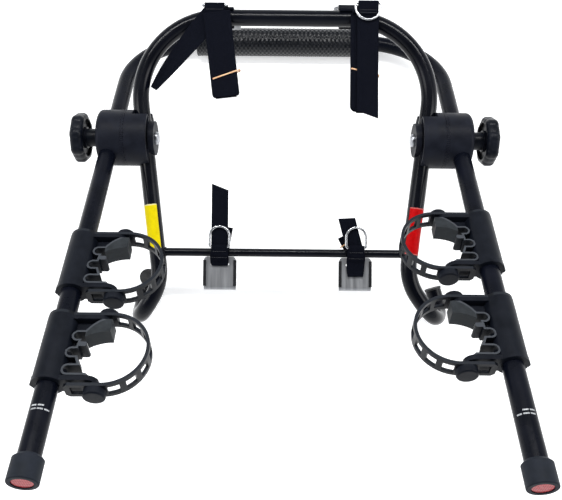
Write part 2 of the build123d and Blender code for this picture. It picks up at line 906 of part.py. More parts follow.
wrap_inner = frame_tube_radius + wrap_clearance
wrap_outer = wrap_inner + webbing_thickness
bar_corner = Vector(leg_x(top_bar_reach), top_bar_reach, 0)
leg_way = (Vector(leg_x(0), 0, 0) - bar_corner).normalized()
bar_half_turn = radians(leg_way.get_angle(Vector(-1, 0, 0))) / 2
bar_straight_end = bar_corner.X - top_bend_radius / tan(bar_half_turn)


def bar_point(x):
    """Point on the centre line of the top bar or its bends."""
    over = max(abs(x) - bar_straight_end, 0)
    y = top_bar_reach - top_bend_radius + sqrt(top_bend_radius ** 2 - over ** 2)
    return (x, y, 0)


def bar_wrap(place, width):
    """Band of webbing round the bar, following its bend."""
    side = 1 if place > 0 else -1
    inner_x = abs(place) - width / 2
    outer_x = abs(place) + width / 2
    edges = []
    if inner_x < bar_straight_end:
        edges.append(Line((inner_x, top_bar_reach, 0), (bar_straight_end, top_bar_reach, 0)))
        inner_x = bar_straight_end
    middle_x = (inner_x + outer_x) / 2
    edges.append(ThreePointArc(bar_point(inner_x), bar_point(middle_x), bar_point(outer_x)))
    band = swept_bar(Wire(edges), wrap_outer, wrap_inner)
    return for_side(band, side)


def folded_bundle(width, low, high, height):
    """Flat closed fold of webbing, its layers parallel to the frame."""
    length = high - low
    thick = 2 * webbing_thickness
    outline = SlotOverall(length, height) - SlotOverall(length - thick, height - thick)
    return extrude(Plane.YZ * (Pos((low + high) / 2, height / 2) * outline), width / 2, both=True)


def flat_tail(width, low, high, slant):
    """Single layer of webbing with a slanted low end, its high end square."""
    corners = ((-width / 2, low + slant), (width / 2, low), (width / 2, high), (-width / 2, high))
    return extrude(Polygon(*corners, align=None), webbing_thickness)


keeper_inner = ring_wire_radius + ring_keeper_gap
keeper_outer = keeper_inner + webbing_thickness


def keeper(width):
    """Small sewn tunnel of webbing for the straight side of a ring."""
    return rod(keeper_outer, -width / 2, width / 2) - rod(keeper_inner, -width / 2, width / 2)


def d_ring(half_width, drop):
    """Wire ring with a straight side on the x axis and a bow towards minus y."""
    corner = 2 * ring_wire_radius
    straight = Line((-half_width + corner, 0, 0), (half_width - corner, 0, 0))
    slant = sqrt(1 / 2)
    shoulder = corner * (1 - slant)
    right_turn = ThreePointArc(
        (half_width - corner, 0, 0),
        (half_width - shoulder, -shoulder, 0),
        (half_width, -corner, 0),
    )
    left_turn = ThreePointArc(
        (-half_width, -corner, 0),
        (-half_width + shoulder, -shoulder, 0),
        (-half_width + corner, 0, 0),
    )
    bow_start = drop - half_width + corner
    right_leg = Line((half_width, -corner, 0), (half_width, -bow_start, 0))
    bow = ThreePointArc(
        (half_width, -bow_start, 0), (0, -bow_start - half_width, 0), (-half_width, -bow_start, 0)
    )
    left_leg = Line((-half_width, -bow_start, 0), (-half_width, -corner, 0))
    path = Wire([straight, right_turn, right_leg, bow, left_leg, left_turn])
    return swept_bar(path, ring_wire_radius)


bundle_base = wrap_outer - bundle_bite
ring_seat = bundle_base + bundle_height + webbing_thickness


def flat_link(width, start, end):
    """Flat layer of webbing across x, between two points given as y and z."""
    run = end[0] - start[0]
    rise = end[1] - start[1]
    outline = SlotCenterToCenter(hypot(run, rise), webbing_thickness)
    middle = ((start[0] + end[0]) / 2, (start[1] + end[1]) / 2)
    outline = Pos(*middle) * Rot(0, 0, degrees(atan2(rise, run))) * outline
    return extrude(Plane.YZ * outline, width / 2, both=True)


hook_eye_inner = top_ear_height / 2 + hook_thickness * ring_keeper_gap
hook_eye_outer = hook_eye_inner + webbing_thickness


def hook_eye(side):
    """Loop of webbing round the ear of a top hook, with its link to the bar."""
    eye_y = top_hook_y[side]
    eye_z = top_hook_z[side]
    eye = rod(hook_eye_outer, -hook_loop_width / 2, hook_loop_width / 2)
    eye -= rod(hook_eye_inner, -hook_loop_width / 2, hook_loop_width / 2)
    run = hook_link_y - eye_y
    rise = hook_link_z - eye_z
    share = (hook_eye_inner + webbing_thickness / 2) / hypot(run, rise)
    link_end = (eye_y + run * share, eye_z + rise * share)
    link = flat_link(hook_loop_width, (hook_link_y, hook_link_z), link_end)
    inner = rod(hook_eye_inner, -hook_loop_width / 2, hook_loop_width / 2)
    link -= Pos(0, eye_y, eye_z) * inner
    return Pos(top_hook_places[side], top_bar_reach, 0) * (Pos(0, eye_y, eye_z) * eye + link)


def cut_to_bar(shape, place):
    """Clear the bar with its running gap out of a webbing strap."""
    side = 1 if place > 0 else -1
    inner_x = bar_straight_end - 2 * bundle_width
    outer_x = bar_straight_end + 2 * bundle_width
    edges = [Line((inner_x, top_bar_reach, 0), (bar_straight_end, top_bar_reach, 0))]
    middle_x = (bar_straight_end + outer_x) / 2
    edges.append(
        ThreePointArc(bar_point(bar_straight_end), bar_point(middle_x), bar_point(outer_x))
    )
    core = swept_bar(Wire(edges), wrap_inner)
    return one_solid(shape - for_side(core, side))


def twisted_tail():
    """Single layer that runs down beside the leg and twists as it goes."""
    points = [Vector(x, top_bar_reach + y, z) for x, y, z in top_left_tail_points]
    sections = []
    for index, point in enumerate(points):
        before = points[max(index - 1, 0)]
        after = points[min(index + 1, len(points) - 1)]
        way = (after - before).normalized()
        across = Vector(-way.Y, way.X, 0).normalized()
        plane = Plane(origin=point, x_dir=across, z_dir=way)
        turned = plane.rotated((0, 0, top_left_tail_twists[index]))
        sections.append(turned * Rectangle(top_left_tail_width, webbing_thickness))
    return loft(sections)


def top_left_webbing():
    """Strap on the left of the top bar: wrap, fold, tail and eyes."""
    shape = bar_wrap(top_left_place, top_wrap_width)
    fold = folded_bundle(bundle_width, top_left_bundle_low, bundle_high, bundle_height)
    pivot = (top_left_bundle_place, top_bar_reach, bundle_base)
    shape += Pos(*pivot) * Rot(0, 0, top_left_bundle_turn) * Pos(0, -top_bar_reach, 0) * fold
    shape += twisted_tail()
    ring_y = top_bar_reach + top_left_ring_y
    shape += Pos(top_left_place, ring_y, top_left_ring_z) * keeper(top_keeper_width)
    inside = top_left_ring_y - keeper_outer + webbing_thickness / 2
    link_start = (0, bundle_base + webbing_thickness / 2)
    link = flat_link(top_wrap_width, link_start, (inside, top_left_ring_z))
    shape += Pos(top_left_place, top_bar_reach, 0) * link
    shape += hook_eye(-1)
    return cut_to_bar(shape, top_left_place)


tail_base = bundle_base + bundle_height + top_tail_lift
right_ring_z = tail_base + webbing_thickness + keeper_outer - bundle_bite


def top_right_webbing():
    """Strap on the right of the top bar: wrap, fold, front tail and eyes."""
    shape = bar_wrap(top_right_place, top_wrap_width)
    fold = folded_bundle(bundle_width, top_right_bundle_low, bundle_high, bundle_height)
    shape += Pos(top_right_bundle_place, 0, bundle_base) * fold
    ring_y = top_bar_reach + top_right_ring_y
    tail = flat_tail(top_right_tail_width, top_right_tail_low, ring_y, top_right_tail_slant)
    shape += Pos(top_right_tail_place, 0, tail_base) * tail
    half_width = top_right_tail_width / 2
    shape += Pos(top_right_tail_place, bundle_high, 0) * block(
        (-half_width, half_width),
        (-2 * webbing_thickness, -webbing_thickness),
        (bundle_base, tail_base + webbing_thickness),
    )
    shape += Pos(top_right_place, ring_y, right_ring_z) * keeper(top_keeper_width)
    shape += hook_eye(1)
    return cut_to_bar(shape, top_right_place)


save("webbing_top_left", frame_plane * top_left_webbing())
save("webbing_top_right", frame_plane * top_right_webbing())

top_ring = d_ring(top_ring_half_width, top_ring_drop)
left_ring = Pos(top_left_place, top_bar_reach + top_left_ring_y, top_left_ring_z) * (
    Rot(top_left_ring_turn, 0, 0) * top_ring
)
right_ring = Pos(top_right_place, top_bar_reach + top_right_ring_y, right_ring_z) * top_ring
save("d_ring_top_left", frame_plane * left_ring)
save("d_ring_top_right", frame_plane * right_ring)


def hook_plate(slot_half_width, ear_height):
    """Slotted plate with a lip, its slot's upper edge at the origin."""
    low = ear_height - hook_length
    lip = hook_lip_radius
    path = Wire(
        [
            Line((0, ear_height, 0), (0, low + lip, 0)),
            ThreePointArc(
                (0, low + lip, 0),
                (0, low + lip - lip * sqrt(1 / 2), -lip + lip * sqrt(1 / 2)),
                (0, low, -lip),
            ),
            ThreePointArc(
                (0, low, -lip),
                (0, low + lip - lip * sqrt(1 / 2), -lip - lip * sqrt(1 / 2)),
                (0, low + lip, -2 * lip),
            ),
            Line((0, low + lip, -2 * lip), (0, low + 2 * lip, -2 * lip)),
        ]
    )
    start = Plane(origin=path @ 0, x_dir=(1, 0, 0), z_dir=path % 0)
    plate_shape = sweep(start * Rectangle(2 * hook_half_width, hook_thickness), path=path)
    top_edges = plate_shape.edges().filter_by(Axis.Z).group_by(Axis.Y)[-1]
    plate_shape = fillet(top_edges, hook_corner_radius)
    slot = block(
        (-slot_half_width, slot_half_width),
        (-hook_slot_height, 0),
        (-hook_thickness, hook_thickness),
    )
    return plate_shape - slot


for side, side_name in side_names.items():
    eye = (top_hook_places[side], top_bar_reach + top_hook_y[side], top_hook_z[side])
    plate_shape = Pos(0, -top_ear_height / 2, 0) * hook_plate(top_slot_half_width, top_ear_height)
    save("hook_top_" + side_name, frame_plane * (Pos(*eye) * Rot(top_hook_tilt, 0, 0) * plate_shape))

# Webbing straps on the cross bar

loop_inner = cross_bar_radius + wrap_clearance
loop_outer = loop_inner + webbing_thickness
tail_level = loop_outer - bundle_bite
lower_ring_z = tail_level + webbing_thickness + keeper_outer - bundle_bite


def egg(big, small, length):
    """Outline round two circles, the big one at the origin, the small one below."""
    lean = (big - small) / length
    height_share = sqrt(1 - lean ** 2)
    corners = (
        (big * lean, big * height_share),
        (small * lean - length, small * height_share),
        (small * lean - length, -small * height_share),
        (big * lean, -big * height_share),
    )
    outline = Circle(big) + Polygon(*corners, align=None)
    return outline + Pos(-length, 0) * Circle(small)


def layer(width, low, high, slant, base, turn):
    """Single layer turned about the cross bar."""
    corners = ((-width / 2, low), (width / 2, low), (width / 2, high - slant), (-width / 2, high))
    flat = extrude(Polygon(*corners, align=None), webbing_thickness)
    return Rot(0, 0, turn) * Pos(0, 0, base) * flat


def lower_webbing(tail_high, slant, turn, spare_turn):
    """Loop through the hook and round the bar, with its tail and spare layer."""
    outline = egg(loop_outer, lower_loop_radius, lower_loop_depth)
    outline -= egg(loop_inner, lower_loop_radius - webbing_thickness, lower_loop_depth)
    shape = extrude(Plane.YZ * outline, lower_width / 2, both=True)
    shape += layer(lower_tail_width, 0, tail_high, slant, tail_level, turn)
    spare_base = -tail_level - webbing_thickness
    shape += layer(
        lower_tail_width, -lower_spare_low, lower_spare_high, 0, spare_base, spare_turn
    )
    ring_keeper = Pos(0, lower_ring_y, lower_ring_z) * keeper(lower_keeper_width)
    return one_solid(shape + ring_keeper)


def lower_place(place):
    """Location on the cross bar."""
    return Pos(place, -cross_bar_drop, 0)


lower_left_shape = lower_webbing(
    cross_bar_drop - lower_left_tail_high, lower_left_tail_slant, 0, lower_left_spare_turn
)
lower_right_shape = lower_webbing(
    cross_bar_drop - lower_right_tail_high,
    lower_right_tail_slant,
    lower_right_tail_turn,
    lower_right_spare_turn,
)
save("webbing_lower_left", frame_plane * (lower_place(lower_left_place) * lower_left_shape))
save("webbing_lower_right", frame_plane * (lower_place(lower_right_place) * lower_right_shape))

lower_ring = Pos(0, lower_ring_y, lower_ring_z) * (
    Rot(0, 0, 180) * d_ring(lower_ring_half_width, lower_ring_rise)
)
lower_hook = Pos(0, -lower_loop_depth - lower_ear_inset, 0) * hook_plate(
    lower_slot_half_width, lower_ear_height
)


def hook_edging():
    """Two vinyl channels on the side edges of a lower hook."""
    inner_x = hook_half_width + edging_wall - edging_width
    low = lower_ear_height - hook_length + hook_lip_radius
    high = lower_ear_height - hook_corner_radius
    channel = block(
        (inner_x, hook_half_width + edging_wall),
        (low, high),
        (-edging_thickness / 2, edging_thickness / 2),
    )
    half_gap = hook_thickness / 2 + edging_gap
    channel -= block((inner_x, hook_half_width + edging_gap), (low, high), (-half_gap, half_gap))
    return Pos(0, -lower_loop_depth - lower_ear_inset, 0) * both_sides(channel)


edging_shape = hook_edging()
for side, place in ((-1, lower_left_place), (1, lower_right_place)):
    side_name = side_names[side]
    where = lower_place(place)
    save("d_ring_lower_" + side_name, frame_plane * (where * lower_ring))
    save("hook_lower_" + side_name, frame_plane * (where * lower_hook))
    save("hook_edging_lower_" + side_name, frame_plane * (where * edging_shape))

# Rubber bands


def rubber_band(width, height):
    """Round band about a flat bundle whose middle is the origin, across y."""
    reach = 2 * (band_radius + band_gap)
    outline = RectangleRounded(width + reach, height + reach, band_radius + band_gap)
    path = (Plane.XZ * outline).face().outer_wire()
    return sweep(Plane(origin=path @ 0, z_dir=path % 0) * Circle(band_radius), path=path)


def slanted_band(width, height, turn):
    """Band turned about z and widened so that it still clears the bundle."""
    return Rot(0, 0, turn) * rubber_band(width / cos(radians(turn)), height)


fold_middle = bundle_base + bundle_height / 2
left_drop = top_left_band_y - top_bar_reach
left_band = Pos(top_left_bundle_place, top_bar_reach, fold_middle) * (
    Rot(0, 0, top_left_bundle_turn)
    * Pos(0, left_drop, 0)
    * slanted_band(bundle_width, bundle_height, top_left_band_turn)
)
right_band = Pos(top_right_bundle_place, top_right_band_y, fold_middle) * slanted_band(
    bundle_width, bundle_height, top_right_band_turn
)
spare_middle = -tail_level - webbing_thickness / 2
lower_band = lower_place(lower_right_place) * (
    Rot(0, 0, lower_right_spare_turn)
    * Pos(0, lower_band_reach, spare_middle)
    * rubber_band(lower_tail_width, webbing_thickness)
)
save("rubber_band_top_left", frame_plane * left_band)
save("rubber_band_top_right", frame_plane * right_band)
save("rubber_band_lower_right", frame_plane * lower_band)

print("frame tilt", round(frame_tilt, 3), "arm tilt", round(arm_tilt, 3))
print("hub centre", [round(value, 3) for value in hub_centre])
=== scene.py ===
import json
from math import acos, atan2, ceil, cos, hypot, pi, radians, sin, sqrt

import bmesh
import bpy
from mathutils import Matrix, Vector


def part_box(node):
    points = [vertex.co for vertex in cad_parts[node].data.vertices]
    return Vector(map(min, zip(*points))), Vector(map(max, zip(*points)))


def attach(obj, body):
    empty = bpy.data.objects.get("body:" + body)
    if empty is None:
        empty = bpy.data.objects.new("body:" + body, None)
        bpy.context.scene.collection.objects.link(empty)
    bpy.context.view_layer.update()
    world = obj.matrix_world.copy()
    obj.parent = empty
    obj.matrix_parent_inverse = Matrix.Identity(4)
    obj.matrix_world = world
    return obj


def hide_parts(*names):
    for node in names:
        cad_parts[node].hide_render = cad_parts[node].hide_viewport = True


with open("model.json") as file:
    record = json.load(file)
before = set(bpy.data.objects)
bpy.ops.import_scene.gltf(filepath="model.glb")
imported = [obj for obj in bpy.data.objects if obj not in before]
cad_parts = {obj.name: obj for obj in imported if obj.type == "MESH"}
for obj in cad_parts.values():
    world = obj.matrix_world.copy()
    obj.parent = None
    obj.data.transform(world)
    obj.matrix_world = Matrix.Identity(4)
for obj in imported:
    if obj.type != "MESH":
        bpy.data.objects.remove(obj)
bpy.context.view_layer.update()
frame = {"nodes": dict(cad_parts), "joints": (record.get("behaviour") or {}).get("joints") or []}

# The vehicle frame stands on the car: one steel tube bent to a U with flared feet,
# and a thin bar welded between its legs. Both wear the same gloss black paint.

MM = 0.001
joints = {joint["name"]: joint for joint in frame["joints"]}
hub = Vector(joints["arm_fold"]["pos_m"])
bar_low, bar_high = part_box("cross_bar")
bar_middle = (bar_low + bar_high) / 2
cross_bar_drop = hypot(hub.y - bar_middle.y, hub.z - bar_middle.z)
frame_lean = atan2(hub.z - bar_middle.z, hub.y - bar_middle.y)
on_frame = Matrix.Translation(hub) @ Matrix.Rotation(frame_lean, 4, "X")


def new_finish(name, colour, roughness, **sockets):
    """Material whose constants sit on its shader's own sockets."""
    finish = bpy.data.materials.new(name)
    finish.use_nodes = True
    shader = finish.node_tree.nodes["Principled BSDF"]
    shader.inputs["Base Color"].default_value = (*colour, 1)
    shader.inputs["Roughness"].default_value = roughness
    for socket, value in sockets.items():
        shader.inputs[socket.replace("_", " ")].default_value = value
    return finish


def add_node(tree, kind, links=(), settings=(), **values):
    """One node with its values, its settings and what feeds it."""
    node = tree.nodes.new(kind)
    for setting, value in dict(settings).items():
        setattr(node, setting, value)
    for socket, value in values.items():
        node.inputs[socket.replace("_", " ")].default_value = value
    for socket, source in dict(links).items():
        tree.links.new(source, node.inputs[socket])
    return node


def noise_on(tree, scale, detail, stretch=(1, 1, 1)):
    """Noise on the object's own coordinates, stretched where a finish has a grain."""
    place = add_node(tree, "ShaderNodeTexCoord")
    turned = add_node(
        tree, "ShaderNodeMapping", {"Vector": place.outputs["Object"]}, Scale=stretch
    )
    noise = add_node(
        tree, "ShaderNodeTexNoise", {"Vector": turned.outputs[0]}, Scale=scale, Detail=detail
    )
    return noise.outputs[0]


def vary(finish, source, socket, low, high):
    """A pattern moves one number of the shader between two values."""
    tree = finish.node_tree
    spread = add_node(
        tree,
        "ShaderNodeMapRange",
        {"Value": source},
        From_Min=0.3,
        From_Max=0.7,
        To_Min=low,
        To_Max=high,
    )
    tree.links.new(spread.outputs[0], tree.nodes["Principled BSDF"].inputs[socket])


def tint(finish, source, dark, light):
    """A pattern moves the colour between two shades."""
    tree = finish.node_tree
    ramp = add_node(tree, "ShaderNodeValToRGB", {"Fac": source})
    ramp.color_ramp.elements[0].position = 0.3
    ramp.color_ramp.elements[0].color = (*dark, 1)
    ramp.color_ramp.elements[1].position = 0.7
    ramp.color_ramp.elements[1].color = (*light, 1)
    tree.links.new(ramp.outputs[0], tree.nodes["Principled BSDF"].inputs["Base Color"])


def emboss(finish, source, depth, strength=1.0):
    """A pattern raises the surface by a depth in metres."""
    tree = finish.node_tree
    bump = add_node(
        tree, "ShaderNodeBump", {"Height": source}, Strength=strength, Distance=depth
    )
    tree.links.new(bump.outputs[0], tree.nodes["Principled BSDF"].inputs["Normal"])


def dress(finish, *names):
    """CAD nodes take a finish."""
    for name in names:
        mesh = frame["nodes"][name].data
        mesh.materials.clear()
        mesh.materials.append(finish)


gloss_black = new_finish(
    "gloss_black_paint", colour=(0.0018, 0.0026, 0.0053), roughness=0.2, Specular_IOR_Level=0.2
)
spray_cloud = noise_on(gloss_black.node_tree, scale=22, detail=5)
vary(gloss_black, spray_cloud, "Roughness", low=0.15, high=0.27)
tint(gloss_black, spray_cloud, dark=(0.0014, 0.0018, 0.0035), light=(0.0028, 0.0035, 0.007))
emboss(
    gloss_black,
    noise_on(gloss_black.node_tree, scale=420, detail=2),
    depth=0.03 * MM,
    strength=0.5,
)
dress(gloss_black, "vehicle_frame_tube", "cross_bar")

# Weld beads join the cross bar to the legs. Each is a ring of overlapping ripples
# round the bar's end, laid by hand and painted over with the tubes.

bar_radius = (bar_high.z - bar_low.z) / 2
tube_radius = 12.25 * MM
leg_spacing = 211.5 * MM
leg_lean = 0.1228
bead_radius = 1.5 * MM
bead_ripples = 22


def leg_x(y):
    """Distance of a leg's centre line from the middle, at a height beside the hub."""
    return leg_spacing + leg_lean * y


def new_tree(name, inputs):
    """Geometry tree with named inputs and a geometry output."""
    tree = bpy.data.node_groups.new(name, "GeometryNodeTree")
    kinds = {float: "NodeSocketFloat", int: "NodeSocketInt", tuple: "NodeSocketVector"}
    tree.interface.new_socket("Geometry", in_out="INPUT", socket_type="NodeSocketGeometry")
    for title, value in inputs.items():
        kind = kinds[type(value)]
        socket = tree.interface.new_socket(title, in_out="INPUT", socket_type=kind)
        socket.default_value = value
    tree.interface.new_socket("Geometry", in_out="OUTPUT", socket_type="NodeSocketGeometry")
    return tree, tree.nodes.new("NodeGroupInput").outputs


def close_tree(tree, geometry, finish):
    """End a tree in Realize Instances and Set Material."""
    whole = add_node(tree, "GeometryNodeRealizeInstances", {"Geometry": geometry})
    smooth = add_node(tree, "GeometryNodeSetShadeSmooth", {"Geometry": whole.outputs[0]})
    dressed = add_node(tree, "GeometryNodeSetMaterial", {"Geometry": smooth.outputs[0]})
    dressed.inputs["Material"].default_value = finish
    tree.links.new(dressed.outputs[0], tree.nodes.new("NodeGroupOutput").inputs[0])


def grown(tree, values=()):
    """The plain mesh that a tree makes with these input values."""
    seed = bpy.data.objects.new("seed", bpy.data.meshes.new("seed"))
    bpy.context.scene.collection.objects.link(seed)
    modifier = seed.modifiers.new("grow", "NODES")
    modifier.node_group = tree
    sockets = {
        item.name: item.identifier
        for item in tree.interface.items_tree
        if item.in_out == "INPUT"
    }
    for title, value in dict(values).items():
        modifier[sockets[title]] = value
    evaluated = seed.evaluated_get(bpy.context.evaluated_depsgraph_get())
    mesh = bpy.data.meshes.new_from_object(evaluated)
    seed.modifiers.remove(modifier)
    bpy.data.objects.remove(seed)
    return mesh


def piece(name, meshes, place, body, finish=None, replaced=()):
    """Join finished meshes, put them in the row frame and ride them on their body."""
    shell = bmesh.new()
    for mesh in meshes:
        shell.from_mesh(mesh)
    whole = bpy.data.meshes.new(name)
    shell.to_mesh(whole)
    shell.free()
    for material in [finish] if finish else meshes[0].materials:
        whole.materials.append(material)
    for mesh in meshes:
        bpy.data.meshes.remove(mesh)
    whole.transform(place)
    thing = bpy.data.objects.new(name, whole)
    bpy.context.scene.collection.objects.link(thing)
    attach(thing, body)
    if replaced:
        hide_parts(*replaced)
    return thing


def math_node(tree, operation, first, second=0.0):
    """Result of one sum on two sources or numbers."""
    node = tree.nodes.new("ShaderNodeMath")
    node.operation = operation
    for socket, value in zip(node.inputs, (first, second)):
        if isinstance(value, (int, float)):
            socket.default_value = value
        else:
            tree.links.new(value, socket)
    return node.outputs[0]


def weld_tree():
    """Ripples on the line where a round bar meets a larger round tube."""
    tree, given = new_tree(
        "weld_bead",
        {
            "Bar Radius": bar_radius,
            "Tube Radius": tube_radius,
            "Bead Radius": bead_radius,
            "Ripples": bead_ripples,
        },
    )
    ring = add_node(
        tree, "GeometryNodeMeshCircle", {
            "Vertices": given["Ripples"], "Radius": given["Bar Radius"]
        }
    )
    place = add_node(tree, "GeometryNodeInputPosition")
    parts = add_node(tree, "ShaderNodeSeparateXYZ", {0: place.outputs[0]})
    squared_radius = math_node(tree, "POWER", given["Tube Radius"], 2.0)
    squared_height = math_node(tree, "POWER", parts.outputs[1], 2.0)
    reach = math_node(tree, "SQRT", math_node(tree, "SUBTRACT", squared_radius, squared_height))
    saddle_point = add_node(
        tree,
        "ShaderNodeCombineXYZ",
        {0: reach, 1: parts.outputs[0], 2: parts.outputs[1]},
    )
    bent = add_node(
        tree,
        "GeometryNodeSetPosition",
        {"Geometry": ring.outputs[0], "Position": saddle_point.outputs[0]},
    )
    ripple = add_node(
        tree,
        "GeometryNodeMeshIcoSphere",
        {"Radius": given["Bead Radius"]},
        Subdivisions=2,
    )
    laid = add_node(
        tree,
        "GeometryNodeInstanceOnPoints",
        {"Points": bent.outputs[0], "Instance": ripple.outputs[0]},
    )
    close_tree(tree, laid.outputs[0], gloss_black)
    return tree


weld = weld_tree()
leg_at_bar = leg_x(-cross_bar_drop)
beads = []
for side in (-1, 1):
    bead = grown(weld)
    bead.transform(
        Matrix.Translation((side * leg_at_bar, -cross_bar_drop, 0))
        @ Matrix.Diagonal((-side, 1, 1, 1))
    )
    if side > 0:
        bead.flip_normals()
    beads.append(bead)
piece("weld_beads", beads, on_frame, "vehicle_frame")

# Foot plugs close the open ends of the frame tube. They are moulded from a plain
# black rubber and pushed in by hand.

plug_rubber = new_finish("plug_rubber", colour=(0.012, 0.012, 0.013), roughness=0.6)
vary(
    plug_rubber,
    noise_on(plug_rubber.node_tree, scale=90, detail=4),
    "Roughness",
    low=0.5,
    high=0.72,
)
emboss(
    plug_rubber,
    noise_on(plug_rubber.node_tree, scale=900, detail=3),
    depth=0.08 * MM,
    strength=0.5,
)
dress(plug_rubber, "foot_plugs")

# Pivot hubs: two toothed halves a side, moulded from glass-filled nylon with a fine
# spark-eroded grain. The discs, plated bolts and springs sit on the same axis.

hub_nylon = new_finish(
    "hub_nylon", colour=(0.007, 0.0088, 0.014), roughness=0.5, Specular_IOR_Level=0.12
)
hub_cloud = noise_on(hub_nylon.node_tree, scale=60, detail=5)
vary(hub_nylon, hub_cloud, "Roughness", low=0.42, high=0.58)
tint(hub_nylon, hub_cloud, dark=(0.0044, 0.0053, 0.0096), light=(0.0088, 0.0105, 0.0175))
emboss(
    hub_nylon, noise_on(hub_nylon.node_tree, scale=1500, detail=3), depth=0.10 * MM, strength=0.55
)
dress(hub_nylon, "inner_hub_left", "inner_hub_right", "outer_hub_left", "outer_hub_right")
dress(hub_nylon, "pressure_discs")

zinc_plate = new_finish("zinc_plate", colour=(0.42, 0.43, 0.45), roughness=0.32, Metallic=1.0)
zinc_cloud = noise_on(zinc_plate.node_tree, scale=150, detail=5)
vary(zinc_plate, zinc_cloud, "Roughness", low=0.22, high=0.42)
tint(zinc_plate, zinc_cloud, dark=(0.30, 0.31, 0.33), light=(0.50, 0.51, 0.54))
emboss(
    zinc_plate, noise_on(zinc_plate.node_tree, scale=700, detail=3), depth=0.04 * MM, strength=0.4
)
dress(zinc_plate, "pivot_bolts", "hub_springs", "knob_insert_left", "knob_insert_right")

# Hand knobs: lobed heads of a smoother nylon, moulded round a hexagon nut and
# polished a little by the hands that turn them.

knob_nylon = new_finish(
    "knob_nylon", colour=(0.0053, 0.007, 0.0123), roughness=0.36, Specular_IOR_Level=0.16
)
knob_cloud = noise_on(knob_nylon.node_tree, scale=75, detail=4)
vary(knob_nylon, knob_cloud, "Roughness", low=0.28, high=0.46)
tint(knob_nylon, knob_cloud, dark=(0.0026, 0.0035, 0.0061), light=(0.0053, 0.007, 0.0123))
emboss(
    knob_nylon,
    noise_on(knob_nylon.node_tree, scale=1100, detail=2),
    depth=0.06 * MM,
    strength=0.4,
)
dress(knob_nylon, "hand_knob_left", "hand_knob_right")

# The arm frame is a second bent tube, sprayed satin black. White bars are printed
# on each arm near its end.

arm_way = joints["left_upper_swivel"]["axis"]
on_arm = Matrix.Translation(hub) @ Matrix.Rotation(-atan2(arm_way[2], -arm_way[1]), 4, "X")
arm_radius = 12.7 * MM
arm_spacing = 262 * MM
arm_bend = 124 * MM
print_reach = 463 * MM
print_rise = 0.06 * MM

satin_black = new_finish(
    "satin_black_paint", colour=(0.0035, 0.0053, 0.0088), roughness=0.3, Specular_IOR_Level=0.1
)
satin_cloud = noise_on(satin_black.node_tree, scale=28, detail=5)
vary(satin_black, satin_cloud, "Roughness", low=0.22, high=0.36)
tint(satin_black, satin_cloud, dark=(0.0018, 0.0026, 0.0053), light=(0.0044, 0.0053, 0.0105))
emboss(
    satin_black,
    noise_on(satin_black.node_tree, scale=520, detail=3),
    depth=0.05 * MM,
    strength=0.5,
)
dress(satin_black, "arm_frame_tube")


def catmull(before, start, end, after, share):
    """Smooth value between two set values."""
    return 0.5 * (
        2 * start
        + (end - before) * share
        + (2 * before - 5 * start + 4 * end - after) * share ** 2
        + (3 * start - before - 3 * end + after) * share ** 3
    )


